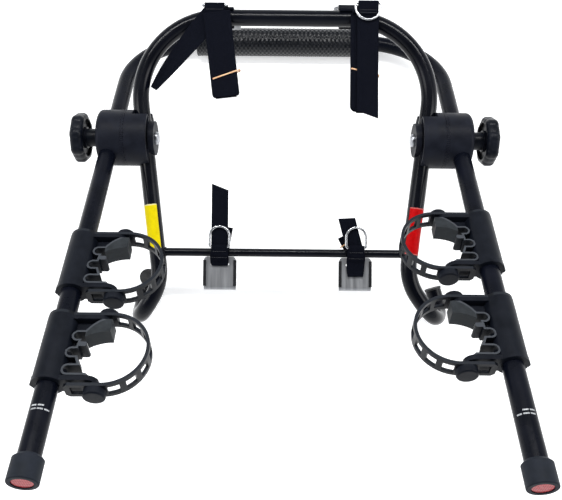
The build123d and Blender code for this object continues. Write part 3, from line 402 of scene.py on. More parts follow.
def ribbon(
    stations, thickness, across=(1, 0, 0), step=1.8 * MM, columns=8, closed=False, curved=True
):
    """Flat band through stations of place, turn, left and right half width, and skew.

    Lengths are metres and turns degrees. The band lies across the given direction,
    a skew slides one edge along it, and its UV map counts metres along and across.
    """
    stations = [list(station) for station in stations]
    rows = []
    for index in range(len(stations) - 1):
        set_values = [
            stations[min(max(index + shift, 0), len(stations) - 1)] for shift in (-1, 0, 1, 2)
        ]
        if closed and index == 0:
            set_values[0] = stations[-2]
        if closed and index == len(stations) - 2:
            set_values[3] = stations[1]
        gap = Vector(stations[index + 1][:3]) - Vector(stations[index][:3])
        count = max(ceil(gap.length / step), 1)
        for part in range(count):
            share = part / count
            if curved:
                rows.append([catmull(*values, share) for values in zip(*set_values)])
            else:
                rows.append([a + (b - a) * share for _, a, b, _ in zip(*set_values)])
    rows.append(stations[-1])

    edge_steps = 4
    profile = []
    for column in range(columns + 1):
        profile.append((2 * column / columns - 1, 0.5, 0))
    for turn in range(1, edge_steps):
        angle = pi / 2 - pi * turn / edge_steps
        profile.append((1, sin(angle) / 2, cos(angle) / 2))
    for column in range(columns + 1):
        profile.append((1 - 2 * column / columns, -0.5, 0))
    for turn in range(1, edge_steps):
        angle = -pi / 2 - pi * turn / edge_steps
        profile.append((-1, sin(angle) / 2, cos(angle) / 2))

    shell = bmesh.new()
    weave = shell.loops.layers.uv.new("weave")
    rings, along, lengths = [], 0.0, []
    for index, row in enumerate(rows):
        place = Vector(row[:3])
        before = Vector(rows[max(index - 1, 0)][:3])
        after = Vector(rows[min(index + 1, len(rows) - 1)][:3])
        if closed and index in (0, len(rows) - 1):
            before, after = Vector(rows[-2][:3]), Vector(rows[1][:3])
        way = (after - before).normalized()
        side = Vector(across)
        side = (side - way * side.dot(way)).normalized()
        side.rotate(Matrix.Rotation(radians(row[3]), 3, way))
        face = side.cross(way)
        if index:
            along += (place - Vector(rows[index - 1][:3])).length
        lengths.append(along)
        ring = []
        for share, rise, bulge in profile:
            reach = share * (row[5] if share > 0 else row[4]) + bulge * thickness
            lift = rise * thickness
            spot = place + side * reach + face * lift + way * row[6] * share
            ring.append((shell.verts.new(spot), reach))
        rings.append(ring)
    for index in range(len(rings) - 1):
        near, far = rings[index], rings[index + 1]
        for spot in range(len(profile)):
            after = (spot + 1) % len(profile)
            quad = shell.faces.new((near[spot][0], near[after][0], far[after][0], far[spot][0]))
            values = (
                (lengths[index], near[spot][1]),
                (lengths[index], near[after][1]),
                (lengths[index + 1], far[after][1]),
                (lengths[index + 1], far[spot][1]),
            )
            for loop, value in zip(quad.loops, values):
                loop[weave].uv = value
            quad.smooth = True
    for ring, length in ((rings[0], lengths[0]), (rings[-1], lengths[-1])):
        cap = shell.faces.new([spot[0] for spot in ring])
        for loop, spot in zip(cap.loops, ring):
            loop[weave].uv = (length, spot[1])
    bmesh.ops.recalc_face_normals(shell, faces=shell.faces)
    mesh = bpy.data.meshes.new("ribbon")
    shell.to_mesh(mesh)
    shell.free()
    return mesh


def tube_patch(centre, radius, way, low, high, first_angle, last_angle, thickness, skew=0.0):
    """Thin patch bent round a tube whose direction is way, over a span of its length."""
    middle = Vector(centre)
    outward = Vector((0, 0, 1))
    sideways = Vector(way).cross(outward).normalized()
    half = (high - low) / 2
    stations = []
    steps = 12
    for step in range(steps + 1):
        angle = radians(first_angle + (last_angle - first_angle) * step / steps)
        spot = middle + Vector(way) * (low + half)
        spot += (sideways * sin(angle) + outward * cos(angle)) * (radius + thickness / 2)
        stations.append((*spot, 0, half, half, skew))
    return ribbon(stations, thickness, across=way, step=1.2 * MM, columns=6)


print_white = new_finish("print_white", colour=(0.42, 0.4375, 0.455), roughness=0.45)
print_cloud = noise_on(print_white.node_tree, scale=700, detail=3)
vary(print_white, print_cloud, "Roughness", low=0.38, high=0.55)
tint(print_white, print_cloud, dark=(0.175, 0.1837, 0.1925), light=(0.595, 0.6125, 0.63))
print_bars = ((-62, -34, 0), (-28, 2, 1), (8, 36, 1))
print_bar_width = 1.7 * MM
print_row_gap = 4.4 * MM
printed = []
for side in (-1, 1):
    for first, last, rows in print_bars:
        for row in range(rows + 1):
            low = row * print_row_gap
            printed.append(
                tube_patch(
                    (side * arm_spacing, -print_reach, 0),
                    arm_radius,
                    (0, 1, 0),
                    low,
                    low + print_bar_width,
                    side * first,
                    side * last,
                    print_rise,
                )
            )
piece("arm_print", printed, on_arm, "arm_frame", print_white)

# The foam sleeve keeps the bar off the paint. It is a soft closed-cell tube whose
# skin is embossed with rows of small diamonds, slid on before the ends are fitted.

foam_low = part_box("foam_sleeve")[0]
foam_reach = 265 * MM
foam_half = 158 * MM
foam_radius = foam_low.z * -1 + hub.z - foam_reach * sin(atan2(arm_way[2], -arm_way[1]))
diamond_height = 1.5 * MM
foam_swell = 1.2 * MM
diamond_pitch = 7.2 * MM
diamonds_round = 15
foam_step = 0.9 * MM
foam_sides = 120
foam_rounding = 3 * MM


def foam_tree(finish):
    """Sleeve swept along the bar and its bends, its skin raised in diamonds."""
    tree, given = new_tree(
        "foam_skin",
        {
            "Half Length": foam_half,
            "Straight": arm_spacing - arm_bend,
            "Bend": arm_bend,
            "Radius": foam_radius + foam_swell - diamond_height,
            "Height": diamond_height,
            "Pitch": diamond_pitch,
            "Rows": float(diamonds_round),
            "Rounding": foam_rounding,
            "Step": foam_step,
        },
    )
    ends = [add_node(tree, "ShaderNodeCombineXYZ") for _ in range(2)]
    tree.links.new(math_node(tree, "MULTIPLY", given["Half Length"], -1.0), ends[0].inputs[0])
    tree.links.new(given["Half Length"], ends[1].inputs[0])
    line = add_node(
        tree, "GeometryNodeCurvePrimitiveLine", {
            "Start": ends[0].outputs[0], "End": ends[1].outputs[0]
        }
    )
    cut = add_node(
        tree,
        "GeometryNodeResampleCurve",
        {"Curve": line.outputs[0], "Length": given["Step"]},
        {"mode": "LENGTH"},
    )
    circle = add_node(
        tree, "GeometryNodeCurvePrimitiveCircle", {"Radius": given["Radius"]}, Resolution=foam_sides
    )
    tube = add_node(
        tree,
        "GeometryNodeCurveToMesh",
        {"Curve": cut.outputs[0], "Profile Curve": circle.outputs["Curve"]},
    )
    tube.inputs["Fill Caps"].default_value = True
    place = add_node(tree, "GeometryNodeInputPosition")
    parts = add_node(tree, "ShaderNodeSeparateXYZ", {0: place.outputs[0]})
    x, y, z = parts.outputs
    round_angle = math_node(tree, "ARCTAN2", z, y)
    rows = math_node(tree, "MULTIPLY", round_angle, math_node(tree, "DIVIDE", given["Rows"], 2.0))
    along = math_node(tree, "DIVIDE", math_node(tree, "MULTIPLY", x, pi), given["Pitch"])
    first = math_node(
        tree, "ABSOLUTE", math_node(tree, "SINE", math_node(tree, "ADD", along, rows))
    )
    second = math_node(
        tree, "ABSOLUTE", math_node(tree, "SINE", math_node(tree, "SUBTRACT", along, rows))
    )
    diamond = math_node(tree, "SQRT", math_node(tree, "MULTIPLY", first, second))
    lift = math_node(tree, "MULTIPLY", diamond, given["Height"])
    distance = math_node(tree, "ABSOLUTE", x)
    to_end = math_node(tree, "SUBTRACT", given["Half Length"], distance)
    near_end = math_node(tree, "MINIMUM", math_node(tree, "DIVIDE", to_end, given["Rounding"]), 1.0)
    short = math_node(tree, "SUBTRACT", 1.0, near_end)
    circle_share = math_node(
        tree,
        "SQRT",
        math_node(
            tree, "MAXIMUM", math_node(
                tree, "SUBTRACT", 1.0, math_node(tree, "MULTIPLY", short, short)
            ), 0.0
        ),
    )
    drop = math_node(
        tree,
        "MULTIPLY",
        math_node(tree, "SUBTRACT", 1.0, circle_share),
        math_node(tree, "MULTIPLY", given["Rounding"], -1.0),
    )
    squares = math_node(
        tree, "ADD", math_node(tree, "MULTIPLY", y, y), math_node(tree, "MULTIPLY", z, z)
    )
    radius_now = math_node(tree, "SQRT", squares)
    grow = math_node(
        tree,
        "DIVIDE",
        math_node(tree, "ADD", radius_now, math_node(tree, "ADD", lift, drop)),
        math_node(tree, "MAXIMUM", radius_now, 0.001),
    )
    new_y = math_node(tree, "MULTIPLY", y, grow)
    new_z = math_node(tree, "MULTIPLY", z, grow)
    over = math_node(tree, "MAXIMUM", math_node(tree, "SUBTRACT", distance, given["Straight"]), 0.0)
    angle = math_node(tree, "DIVIDE", over, given["Bend"])
    arc_radius = math_node(tree, "ADD", given["Bend"], new_y)
    bent_x = math_node(
        tree,
        "ADD",
        math_node(tree, "MINIMUM", distance, given["Straight"]),
        math_node(tree, "MULTIPLY", arc_radius, math_node(tree, "SINE", angle)),
    )
    signed_x = math_node(tree, "MULTIPLY", bent_x, math_node(tree, "SIGN", x))
    bent_y = math_node(
        tree,
        "SUBTRACT",
        math_node(tree, "MULTIPLY", arc_radius, math_node(tree, "COSINE", angle)),
        given["Bend"],
    )
    bent = add_node(tree, "ShaderNodeCombineXYZ", {0: signed_x, 1: bent_y, 2: new_z})
    shaped = add_node(
        tree, "GeometryNodeSetPosition", {"Geometry": tube.outputs[0], "Position": bent.outputs[0]}
    )
    close_tree(tree, shaped.outputs[0], finish)
    return tree


foam_skin = new_finish(
    "foam_skin", colour=(0.0035, 0.0044, 0.007), roughness=0.26, Specular_IOR_Level=0.34
)
foam_cloud = noise_on(foam_skin.node_tree, scale=130, detail=5)
vary(foam_skin, foam_cloud, "Roughness", low=0.18, high=0.34)
tint(foam_skin, foam_cloud, dark=(0.0018, 0.0026, 0.0044), light=(0.0053, 0.0061, 0.0088))
emboss(
    foam_skin, noise_on(foam_skin.node_tree, scale=1300, detail=4), depth=0.12 * MM, strength=0.6
)
foam = piece(
    "foam_bar",
    [grown(foam_tree(foam_skin))],
    on_arm @ Matrix.Translation((0, foam_reach, 0)),
    "arm_frame",
    foam_skin,
    ["foam_sleeve"],
)

# End caps of dark grey rubber close the arms. Each holds a round red reflector with
# small prisms behind its smooth face.

cap_rubber = new_finish(
    "cap_rubber", colour=(0.014, 0.0175, 0.0245), roughness=0.58, Specular_IOR_Level=0.12
)
cap_cloud = noise_on(cap_rubber.node_tree, scale=85, detail=5)
vary(cap_rubber, cap_cloud, "Roughness", low=0.5, high=0.68)
tint(cap_rubber, cap_cloud, dark=(0.0096, 0.0123, 0.0175), light=(0.0175, 0.021, 0.0298))
emboss(
    cap_rubber,
    noise_on(cap_rubber.node_tree, scale=1000, detail=3),
    depth=0.08 * MM,
    strength=0.5,
)
dress(cap_rubber, "end_cap_left", "end_cap_right")

red_lens = new_finish(
    "red_lens", colour=(0.49, 0.035, 0.0525), roughness=0.22, Specular_IOR_Level=0.2
)
prisms = add_node(
    red_lens.node_tree,
    "ShaderNodeTexVoronoi",
    {"Vector": add_node(red_lens.node_tree, "ShaderNodeTexCoord").outputs["Object"]},
    Scale=420,
    Randomness=0.15,
)
tint(red_lens, prisms.outputs["Distance"], dark=(0.665, 0.07, 0.0788), light=(0.35, 0.014, 0.021))
emboss(red_lens, prisms.outputs["Distance"], depth=0.3 * MM, strength=0.5)
dress(red_lens, "end_reflectors")

# Cradles swivel on the arms. Sleeve, plates and web are one nylon moulding; the
# saddle and pad are softer rubber, and a ladder strap closes over the bicycle tube.

cradle_names = ("left_upper", "left_lower", "right_upper", "right_lower")
arm_up = on_arm.to_3x3() @ Vector((0, 0, 1))


def painted_light_facing(finish, way):
    """One on faces that look along a way in the object's own space, zero beside: a mask that paints
    light onto the faces turned that way.
    """
    tree = finish.node_tree
    place = add_node(tree, "ShaderNodeTexCoord")
    match = add_node(
        tree, "ShaderNodeVectorMath", {0: place.outputs["Normal"]}, {"operation": "DOT_PRODUCT"}
    )
    match.inputs[1].default_value = way
    spread = add_node(
        tree, "ShaderNodeMapRange", {"Value": match.outputs["Value"]}, From_Min=0.8, From_Max=0.97
    )
    return spread.outputs[0]


cradle_nylon = new_finish(
    "cradle_nylon", colour=(0.0053, 0.007, 0.0105), roughness=0.42, Specular_IOR_Level=0.1
)
cradle_cloud = noise_on(cradle_nylon.node_tree, scale=70, detail=5)
vary(cradle_nylon, cradle_cloud, "Roughness", low=0.34, high=0.52)
tint(cradle_nylon, cradle_cloud, dark=(0.0035, 0.0047, 0.0079), light=(0.007, 0.0088, 0.014))
emboss(
    cradle_nylon,
    noise_on(cradle_nylon.node_tree, scale=1300, detail=3),
    depth=0.08 * MM,
    strength=0.5,
)

saddle_rubber = new_finish(
    "saddle_rubber", colour=(0.020, 0.021, 0.023), roughness=0.5, Specular_IOR_Level=0.15
)
saddle_cloud = noise_on(saddle_rubber.node_tree, scale=110, detail=4)
vary(saddle_rubber, saddle_cloud, "Roughness", low=0.4, high=0.62)
# Painted light: saddle faces that look up the arm get a lighter rubber shade, their lit tops
# painted into the colour.
tint(
    saddle_rubber,
    painted_light_facing(saddle_rubber, arm_up),
    dark=(0.0053, 0.007, 0.0105),
    light=(0.0473, 0.0525, 0.0613),
)
emboss(
    saddle_rubber,
    noise_on(saddle_rubber.node_tree, scale=1100, detail=3),
    depth=0.06 * MM,
    strength=0.5,
)

pad_rubber = new_finish(
    "pad_rubber", colour=(0.018, 0.020, 0.024), roughness=0.55, Specular_IOR_Level=0.15
)
pad_cloud = noise_on(pad_rubber.node_tree, scale=120, detail=5)
vary(pad_rubber, pad_cloud, "Roughness", low=0.46, high=0.66)
tint(pad_rubber, pad_cloud, dark=(0.014, 0.0166, 0.0192), light=(0.0262, 0.0306, 0.035))
emboss(
    pad_rubber,
    noise_on(pad_rubber.node_tree, scale=1000, detail=3),
    depth=0.08 * MM,
    strength=0.5,
)

strap_rubber = new_finish(
    "strap_rubber", colour=(0.010, 0.011, 0.013), roughness=0.36, Specular_IOR_Level=0.16
)
strap_cloud = noise_on(strap_rubber.node_tree, scale=95, detail=4)
vary(strap_rubber, strap_cloud, "Roughness", low=0.28, high=0.46)
# Painted light: strap faces that look up the arm are painted a lighter shade, as if lit from above.
tint(
    strap_rubber,
    painted_light_facing(strap_rubber, arm_up),
    dark=(0.0032, 0.0042, 0.007),
    light=(0.014, 0.0166, 0.0219),
)
emboss(
    strap_rubber,
    noise_on(strap_rubber.node_tree, scale=900, detail=3),
    depth=0.06 * MM,
    strength=0.45,
)

for cradle in cradle_names:
    dress(cradle_nylon, "cradle_body_" + cradle, "top_button_" + cradle)
    dress(saddle_rubber, "saddle_" + cradle)
    dress(pad_rubber, "strap_pad_" + cradle)
    dress(strap_rubber, "strap_root_" + cradle, "ladder_strap_" + cradle)

# Stickers on the legs: a yellow one on the left and a red one on the right, bare but
# for a thin border, printed on vinyl and pressed round the tube.

sticker_thickness = 0.15 * MM
sticker_border = 1.6 * MM
sticker_rise = 0.05 * MM
yellow_span = (-168 * MM, -101 * MM)
red_span = (-173 * MM, -103 * MM)


def sticker(name, colour, dark, border, side, span, first, last):
    """Vinyl panel with its border strip lying round it."""
    way = Vector((side * leg_lean, 1, 0))
    centre = (side * leg_spacing, 0, 0)
    low, high = span
    vinyl = new_finish(name + "_vinyl", colour, roughness=0.34, Specular_IOR_Level=0.05)
    cloud = noise_on(vinyl.node_tree, scale=160, detail=4)
    vary(vinyl, cloud, "Roughness", low=0.28, high=0.42)
    tint(vinyl, cloud, dark, colour)
    emboss(vinyl, noise_on(vinyl.node_tree, scale=240, detail=3), depth=0.05 * MM, strength=0.4)
    panel = tube_patch(centre, tube_radius, way, low, high, first, last, sticker_thickness)
    piece(name, [panel], on_frame, "vehicle_frame", vinyl)
    rim = new_finish(name + "_border", border, roughness=0.4, Specular_IOR_Level=0.05)
    vary(rim, noise_on(rim.node_tree, scale=160, detail=4), "Roughness", low=0.32, high=0.5)
    above = tube_radius + sticker_thickness
    edges = [
        tube_patch(centre, above, way, low, low + sticker_border, first, last, sticker_rise),
        tube_patch(centre, above, way, high - sticker_border, high, first, last, sticker_rise),
    ]
    piece(name + "_border", edges, on_frame, "vehicle_frame", rim)


yellow = (0.76, 0.62, 0.003)
red = (0.50, 0.003, 0.004)
sticker(
    "yellow_sticker",
    yellow,
    dark=(0.66, 0.52, 0.002),
    border=(0.74, 0.68, 0.32),
    side=-1,
    span=yellow_span,
    first=-88,
    last=40,
)
sticker(
    "red_sticker",
    red,
    dark=(0.36, 0.002, 0.003),
    border=(0.50, 0.11, 0.10),
    side=1,
    span=red_span,
    first=78,
    last=-52,
)

# Webbing of tightly woven black polyester. The strap on the top bar's left side
# wraps the bar, holds a ring and a hook, and has its spare length folded and banded.

webbing_thickness = 1.55 * MM
bar_reach = 185 * MM
bar_bend = 120 * MM
bar_straight = 98.6 * MM
wrap_radius = 13.4
over_radius = 14.95
keeper_radius = 2.9
eye_radius = 3.9
wrap_half = 18
loop_half = 17
patch_half = 15
lowest_layer = 14.7
layer_rise = 1.6
fold_layers = 4
fold_creep = 1.1
left_wrap_x = -107
left_fold_x = -103.3
left_fold_low = 58.5
left_fold_high = 188
left_fold_half = 20.3
left_fold_rounding = 4.5
left_fold_turn = 7.0
left_loop_x = -96
left_eye = (199.5, -19)
left_tail_half = 15.7
weave_along = 1.8 * MM
weave_across = 1.6 * MM

webbing = new_finish(
    "webbing", colour=(0.003, 0.004, 0.009), roughness=0.8, Specular_IOR_Level=0.02
)
weave_map = add_node(webbing.node_tree, "ShaderNodeUVMap", settings={"uv_map": "weave"})
threads = add_node(webbing.node_tree, "ShaderNodeSeparateXYZ", {0: weave_map.outputs[0]})
warp = math_node(
    webbing.node_tree,
    "SINE",
    math_node(webbing.node_tree, "MULTIPLY", threads.outputs[0], 2 * pi / weave_along),
)
weft = math_node(
    webbing.node_tree,
    "SINE",
    math_node(webbing.node_tree, "MULTIPLY", threads.outputs[1], 2 * pi / weave_across),
)
crossing = math_node(webbing.node_tree, "MULTIPLY", warp, weft)
weave = math_node(webbing.node_tree, "MULTIPLY_ADD", crossing, 0.5)
weave.node.inputs[2].default_value = 0.5
tint(webbing, weave, dark=(0.0003, 0.0005, 0.001), light=(0.0079, 0.0091, 0.0158))
vary(webbing, noise_on(webbing.node_tree, scale=260, detail=4), "Roughness", low=0.66, high=0.88)
emboss(webbing, weave, depth=0.25 * MM, strength=0.8)


def arc(y, z, radius, first, last):
    """Points of y and z on a circle, from one angle to another, 0 towards plus y."""
    count = max(ceil(abs(last - first) / 15), 1)
    points = []
    for step in range(count + 1):
        angle = radians(first + (last - first) * step / count)
        points.append((y + radius * cos(angle), z + radius * sin(angle)))
    return points


def strip(x, points, half, closed=False, slant=0.0, turn=None):
    """Webbing across x through points of y and z in millimetres, its far end slanted.

    A point may add its own left and right half width. A turn is an angle and the
    place in x and y that the strip turns about.
    """
    stations = []
    for point in points:
        left, right = point[2:4] if len(point) > 2 else (half, half)
        left, right = left * MM - webbing_thickness / 2, right * MM - webbing_thickness / 2
        stations.append([x * MM, point[0] * MM, point[1] * MM, 0, left, right, 0])
    stations[-1][6] = slant * MM / 2
    mesh = ribbon(stations, webbing_thickness, closed=closed, curved=False)
    if turn:
        angle, pivot_x, pivot_y = turn
        pivot = Matrix.Translation((pivot_x * MM, pivot_y * MM, 0))
        mesh.transform(pivot @ Matrix.Rotation(radians(angle), 4, "Z") @ pivot.inverted())
    return mesh


def on_bar(mesh):
    """Bend a piece of webbing along with the ends of the top bar."""
    for vertex in mesh.vertices:
        over = max(abs(vertex.co.x) - bar_straight, 0.0)
        vertex.co.y -= bar_bend - sqrt(bar_bend ** 2 - over ** 2)
    return mesh


def folded(low, high, half, rounding):
    """Points of a strap folded to and fro, its low corners rounded off."""
    turn = layer_rise / 2
    points = []
    for layer in range(fold_layers):
        z = lowest_layer + layer * layer_rise
        start = low + turn + fold_creep * (layer // 2)
        run = []
        for drop in (0, 0.1, 0.25, 0.5, 0.75, 1.0):
            lost = rounding * (1 - sqrt(1 - (1 - drop) ** 2))
            run.append((start + rounding * drop, z, half - lost, half - lost))
        run.append((high - turn, z, half, half))
        if layer % 2 == 0:
            run.reverse()
            points += run
            corner = run[-1]
            points += [
                (*spot, corner[2], corner[3])
                for spot in arc(corner[0], z + turn, turn, -90, -270)[1:-1]
            ]
        else:
            points += run
            if layer + 1 < fold_layers:
                points += [
                    (*spot, half, half) for spot in arc(high - turn, z + turn, turn, -90, 90)[1:-1]
                ]
    return points


def belt(first, first_radius, second, second_radius, lead, trail):
    """Points of a strap that leaves one circle, goes round another and comes back."""
    run = (second[0] - first[0], second[1] - first[1])
    heading = atan2(run[1], run[0]) * 180 / pi
    spread = acos((first_radius - second_radius) / hypot(*run)) * 180 / pi
    points = arc(*first, first_radius, heading + spread + lead, heading + spread)
    points += arc(*second, second_radius, heading + spread, heading - spread)
    points += arc(*first, first_radius, heading - spread, heading - spread - trail)
    return points


bar_y = bar_reach / MM
round_bar = arc(bar_y, 0, wrap_radius, first=90, last=450)
left_parts = [on_bar(strip(left_wrap_x, round_bar, wrap_half, closed=True))]
left_fold = folded(left_fold_low, left_fold_high, left_fold_half, left_fold_rounding)
left_turn = (left_fold_turn, left_fold_x, bar_y)
left_parts.append(strip(left_fold_x, left_fold, left_fold_half, turn=left_turn))
ring_pass = [(176, 15.0), (186, 15.3), (192, 17.2)]
ring_pass += arc(198.5, 16, keeper_radius, 110, -110)
ring_pass += [(192, 14.2), (188.5, 14.6)]
left_parts.append(strip(left_wrap_x, ring_pass, patch_half))
left_loop = belt((bar_y, 0), over_radius, left_eye, eye_radius, lead=45, trail=40)
left_parts.append(on_bar(strip(left_loop_x, left_loop, loop_half)))
tail_places = (
    (-109, 186, 14.9, 0),
    (-131, 159, 15.2, 5),
    (-155, 129, 14, 24),
    (-178, 100, 12, 40),
    (-198, 73, 10, 60),
)
tail_half = left_tail_half * MM
tail_stations = [
    (x * MM, y * MM, z * MM, turn, tail_half, tail_half, 0) for x, y, z, turn in tail_places
]
left_parts.append(ribbon(tail_stations, webbing_thickness))
piece(
    "webbing_top_left_woven",
    left_parts,
    on_frame,
    "webbing_strap_top_left",
    webbing,
    ["webbing_top_left"],
)

# The strap on the top bar's right side is made alike. Its last layer comes over the
# fold as a tail in front, and a short patch on it holds the ring.

right_wrap_x = 122
right_fold_x = 116
right_fold_low = 38.5
right_fold_high = 187
right_fold_half = 19
right_fold_rounding = 9
right_tail_half = 16
right_tail_slant = 11
right_loop_x = 98
right_eye = (207.75, -16.2)

right_parts = [on_bar(strip(right_wrap_x, round_bar, wrap_half, closed=True))]
right_fold = folded(right_fold_low, right_fold_high, right_fold_half, right_fold_rounding)
right_fold += [(*spot, loop_half, loop_half) for spot in arc(186.2, 21.9, 2.4, -90, 90)]
right_parts.append(strip(right_fold_x, right_fold, right_fold_half))
front_tail = [
    (186, 24.3),
    (150, 24.5),
    (110, 24.0),
    (80, 23.9),
    (55, 24.6),
    (33.5, 25.4),
]
right_parts.append(strip(right_wrap_x, front_tail, right_tail_half, slant=right_tail_slant))
patch = [(178, 25.9), (192, 25.9)]
patch += arc(199, 28.55, keeper_radius, -90, 90)
patch += [(192, 30.6), (186, 28.8), (182, 27.6)]
right_parts.append(strip(right_wrap_x, patch, patch_half))
right_loop = belt((bar_y, 0), over_radius, right_eye, eye_radius, lead=30, trail=40)
right_parts.append(on_bar(strip(right_loop_x, right_loop, loop_half)))
piece(
    "webbing_top_right_woven",
    right_parts,
    on_frame,
    "webbing_strap_top_right",
    webbing,
    ["webbing_top_right"],
)

# The two lower straps loop round the cross bar and through their hooks. A narrow
# tail rises in front, a spare end lies behind, and a patch holds the small ring.

cross_y = -cross_bar_drop / MM
cross_radius = 7.3
slot_radius = 2.6
slot_drop = 15
lower_half = 12
lower_tail_half = 12.5


def lower_strap(name, x, tail_high, slant, turn, spare_turn, spare_high, hang):
    """One lower strap: closed loop, tail, spare end and ring patch."""
    slot = (cross_y - slot_drop, 0)
    loop = belt((cross_y, 0), cross_radius, slot, slot_radius, lead=0, trail=0)
    spread = 180 - acos((cross_radius - slot_radius) / slot_drop) * 180 / pi
    loop += arc(cross_y, 0, cross_radius, -180 + spread, -180 - spread)[1:]
    loop.append(loop[0])
    parts = [strip(x, loop, lower_half, closed=True)]
    tail = [(cross_y - 6, 7.4), (cross_y, 8.7), (cross_y + 0.6 * tail_high, 9.0)]
    tail += [(cross_y + tail_high - 10, 9.4), (cross_y + tail_high - slant / 2, 10.0)]
    parts.append(strip(x, tail, lower_tail_half, slant=-slant, turn=(turn, x, cross_y)))
    spare = [(cross_y - 8, -8.6), (cross_y + 12, -8.7), (cross_y + spare_high, -9.4)]
    parts.append(strip(x, spare, lower_tail_half, turn=(spare_turn, x, cross_y)))
    hold = [(cross_y - 1, 10.4), (cross_y + 4, 10.2)]
    hold += arc(cross_y + 8, 12.9, keeper_radius, -90, 90)
    hold += [
        (cross_y + 2, 14.9, 12.4, 12.4),
        (cross_y - 4, 13.0, 13.6, 13.6),
        (cross_y - 10, 9.8, 13.9, 13.9),
        (cross_y - 14.5, 6.2, 13.7, 13.7),
        (cross_y - 17.2 - hang / 2, 3.9, 13.2, 13.2),
        (cross_y - 18.0 - hang, 3.1, 11.6, 11.6),
    ]
    parts.append(strip(x, hold, lower_half))
    piece(
        "webbing_" + name + "_woven",
        parts,
        on_frame,
        "webbing_strap_" + name,
        webbing,
        ["webbing_" + name],
    )


lower_strap(
    "lower_left",
    x=-96,
    tail_high=102.4,
    slant=9,
    turn=0,
    spare_turn=-9,
    spare_high=40,
    hang=2,
)
lower_strap(
    "lower_right",
    x=108,
    tail_high=57,
    slant=5,
    turn=15,
    spare_turn=27,
    spare_high=32,
    hang=17,
)

# Stitching in black thread holds the folded strap ends. Each row is a line of short
# raised stitches, laid by one tree at an even pitch.

stitch_pitch = 2.9 * MM
stitch_length = 2.3 * MM
thread_radius = 0.36 * MM
thread = new_finish("thread", colour=(0.022, 0.023, 0.028), roughness=0.6, Sheen_Weight=0.3)
vary(thread, noise_on(thread.node_tree, scale=2200, detail=2), "Roughness", low=0.5, high=0.75)
emboss(thread, noise_on(thread.node_tree, scale=3000, detail=2), depth=0.05 * MM, strength=0.6)


def stitch_tree():
    """Row of stitches along x about the origin."""
    tree, given = new_tree(
        "stitch_row",
        {
            "Count": 9,
            "Pitch": stitch_pitch,
            "Length": stitch_length,
            "Thread": thread_radius,
        },
    )
    shift = add_node(tree, "ShaderNodeCombineXYZ", {0: given["Pitch"]})
    row = add_node(
        tree, "GeometryNodeMeshLine", {"Count": given["Count"], "Offset": shift.outputs[0]}
    )
    one = add_node(
        tree, "GeometryNodeMeshUVSphere", {"Radius": given["Thread"]}, Segments=10, Rings=6
    )
    stretch = math_node(
        tree,
        "DIVIDE",
        given["Length"],
        math_node(tree, "MULTIPLY", given["Thread"], 2.0),
    )
    size = add_node(tree, "ShaderNodeCombineXYZ", {0: stretch}, Y=1.0, Z=1.0)
    laid = add_node(
        tree,
        "GeometryNodeInstanceOnPoints",
        {"Points": row.outputs[0], "Instance": one.outputs[0], "Scale": size.outputs[0]},
    )
    close_tree(tree, laid.outputs[0], thread)
    return tree


stitches = stitch_tree()


def stitch_row(x, y, z, count):
    """One row centred on a place in millimetres."""
    mesh = grown(stitches, {"Count": count})
    middle = Matrix.Translation((-(count - 1) * stitch_pitch / 2, 0, 0))
    mesh.transform(Matrix.Translation((x * MM, y * MM, z * MM)) @ middle)
    return mesh


sewn = {
    "top_left": [stitch_row(-107, 181, 15.9, 9), stitch_row(-107, 191.5, 17.9, 9)],
    "top_right": [stitch_row(122, 184.5, 29.2, 9), stitch_row(122, 188.0, 30.3, 9)],
    "lower_left": [stitch_row(-96, cross_y + 1.0, 15.4, 7), stitch_row(-96, cross_y - 8, 11.8, 8)],
    "lower_right": [stitch_row(108, cross_y + 1.0, 15.4, 7), stitch_row(108, cross_y - 8, 11.8, 8)],
}
for name, rows in sewn.items():
    piece("stitches_" + name, rows, on_frame, "webbing_strap_" + name, thread)

# Rings of bright chromed wire and hooks pressed from brushed steel, with black vinyl
# on the lower hooks' edges. Tan rubber bands hold the folds.

chrome = new_finish("chrome", colour=(0.62, 0.63, 0.65), roughness=0.26, Metallic=1.0)
vary(chrome, noise_on(chrome.node_tree, scale=260, detail=4), "Roughness", low=0.18, high=0.34)
emboss(chrome, noise_on(chrome.node_tree, scale=600, detail=3), depth=0.03 * MM, strength=0.4)

brushed = new_finish("brushed_steel", colour=(0.26, 0.27, 0.28), roughness=0.42, Metallic=0.6)
brush_grain = noise_on(brushed.node_tree, scale=240, detail=5, stretch=(1, 0.06, 0.06))
vary(brushed, brush_grain, "Roughness", low=0.34, high=0.52)
tint(brushed, brush_grain, dark=(0.24, 0.245, 0.255), light=(0.38, 0.385, 0.40))
emboss(brushed, brush_grain, depth=0.03 * MM, strength=0.5)

vinyl_black = new_finish("vinyl_black", colour=(0.010, 0.010, 0.012), roughness=0.35)
vary(
    vinyl_black,
    noise_on(vinyl_black.node_tree, scale=120, detail=4),
    "Roughness",
    low=0.28,
    high=0.46,
)
emboss(
    vinyl_black,
    noise_on(vinyl_black.node_tree, scale=700, detail=2),
    depth=0.04 * MM,
    strength=0.4,
)

tan_rubber = new_finish(
    "tan_rubber", colour=(0.72, 0.46, 0.26), roughness=0.5, Subsurface_Weight=0.15
)
tan_rubber.node_tree.nodes["Principled BSDF"].inputs["Subsurface Scale"].default_value = MM
tan_cloud = noise_on(tan_rubber.node_tree, scale=120, detail=4)
tint(tan_rubber, tan_cloud, dark=(0.68, 0.40, 0.21), light=(0.84, 0.54, 0.31))
vary(tan_rubber, tan_cloud, "Roughness", low=0.42, high=0.6)

for name in ("top_left", "top_right", "lower_left", "lower_right"):
    dress(chrome, "d_ring_" + name)
    dress(brushed, "hook_" + name)
dress(vinyl_black, "hook_edging_lower_left", "hook_edging_lower_right")
dress(tan_rubber, "rubber_band_top_left", "rubber_band_top_right", "rubber_band_lower_right")

# The camera that took the picture stands about a metre above the frame, almost
# square to it.

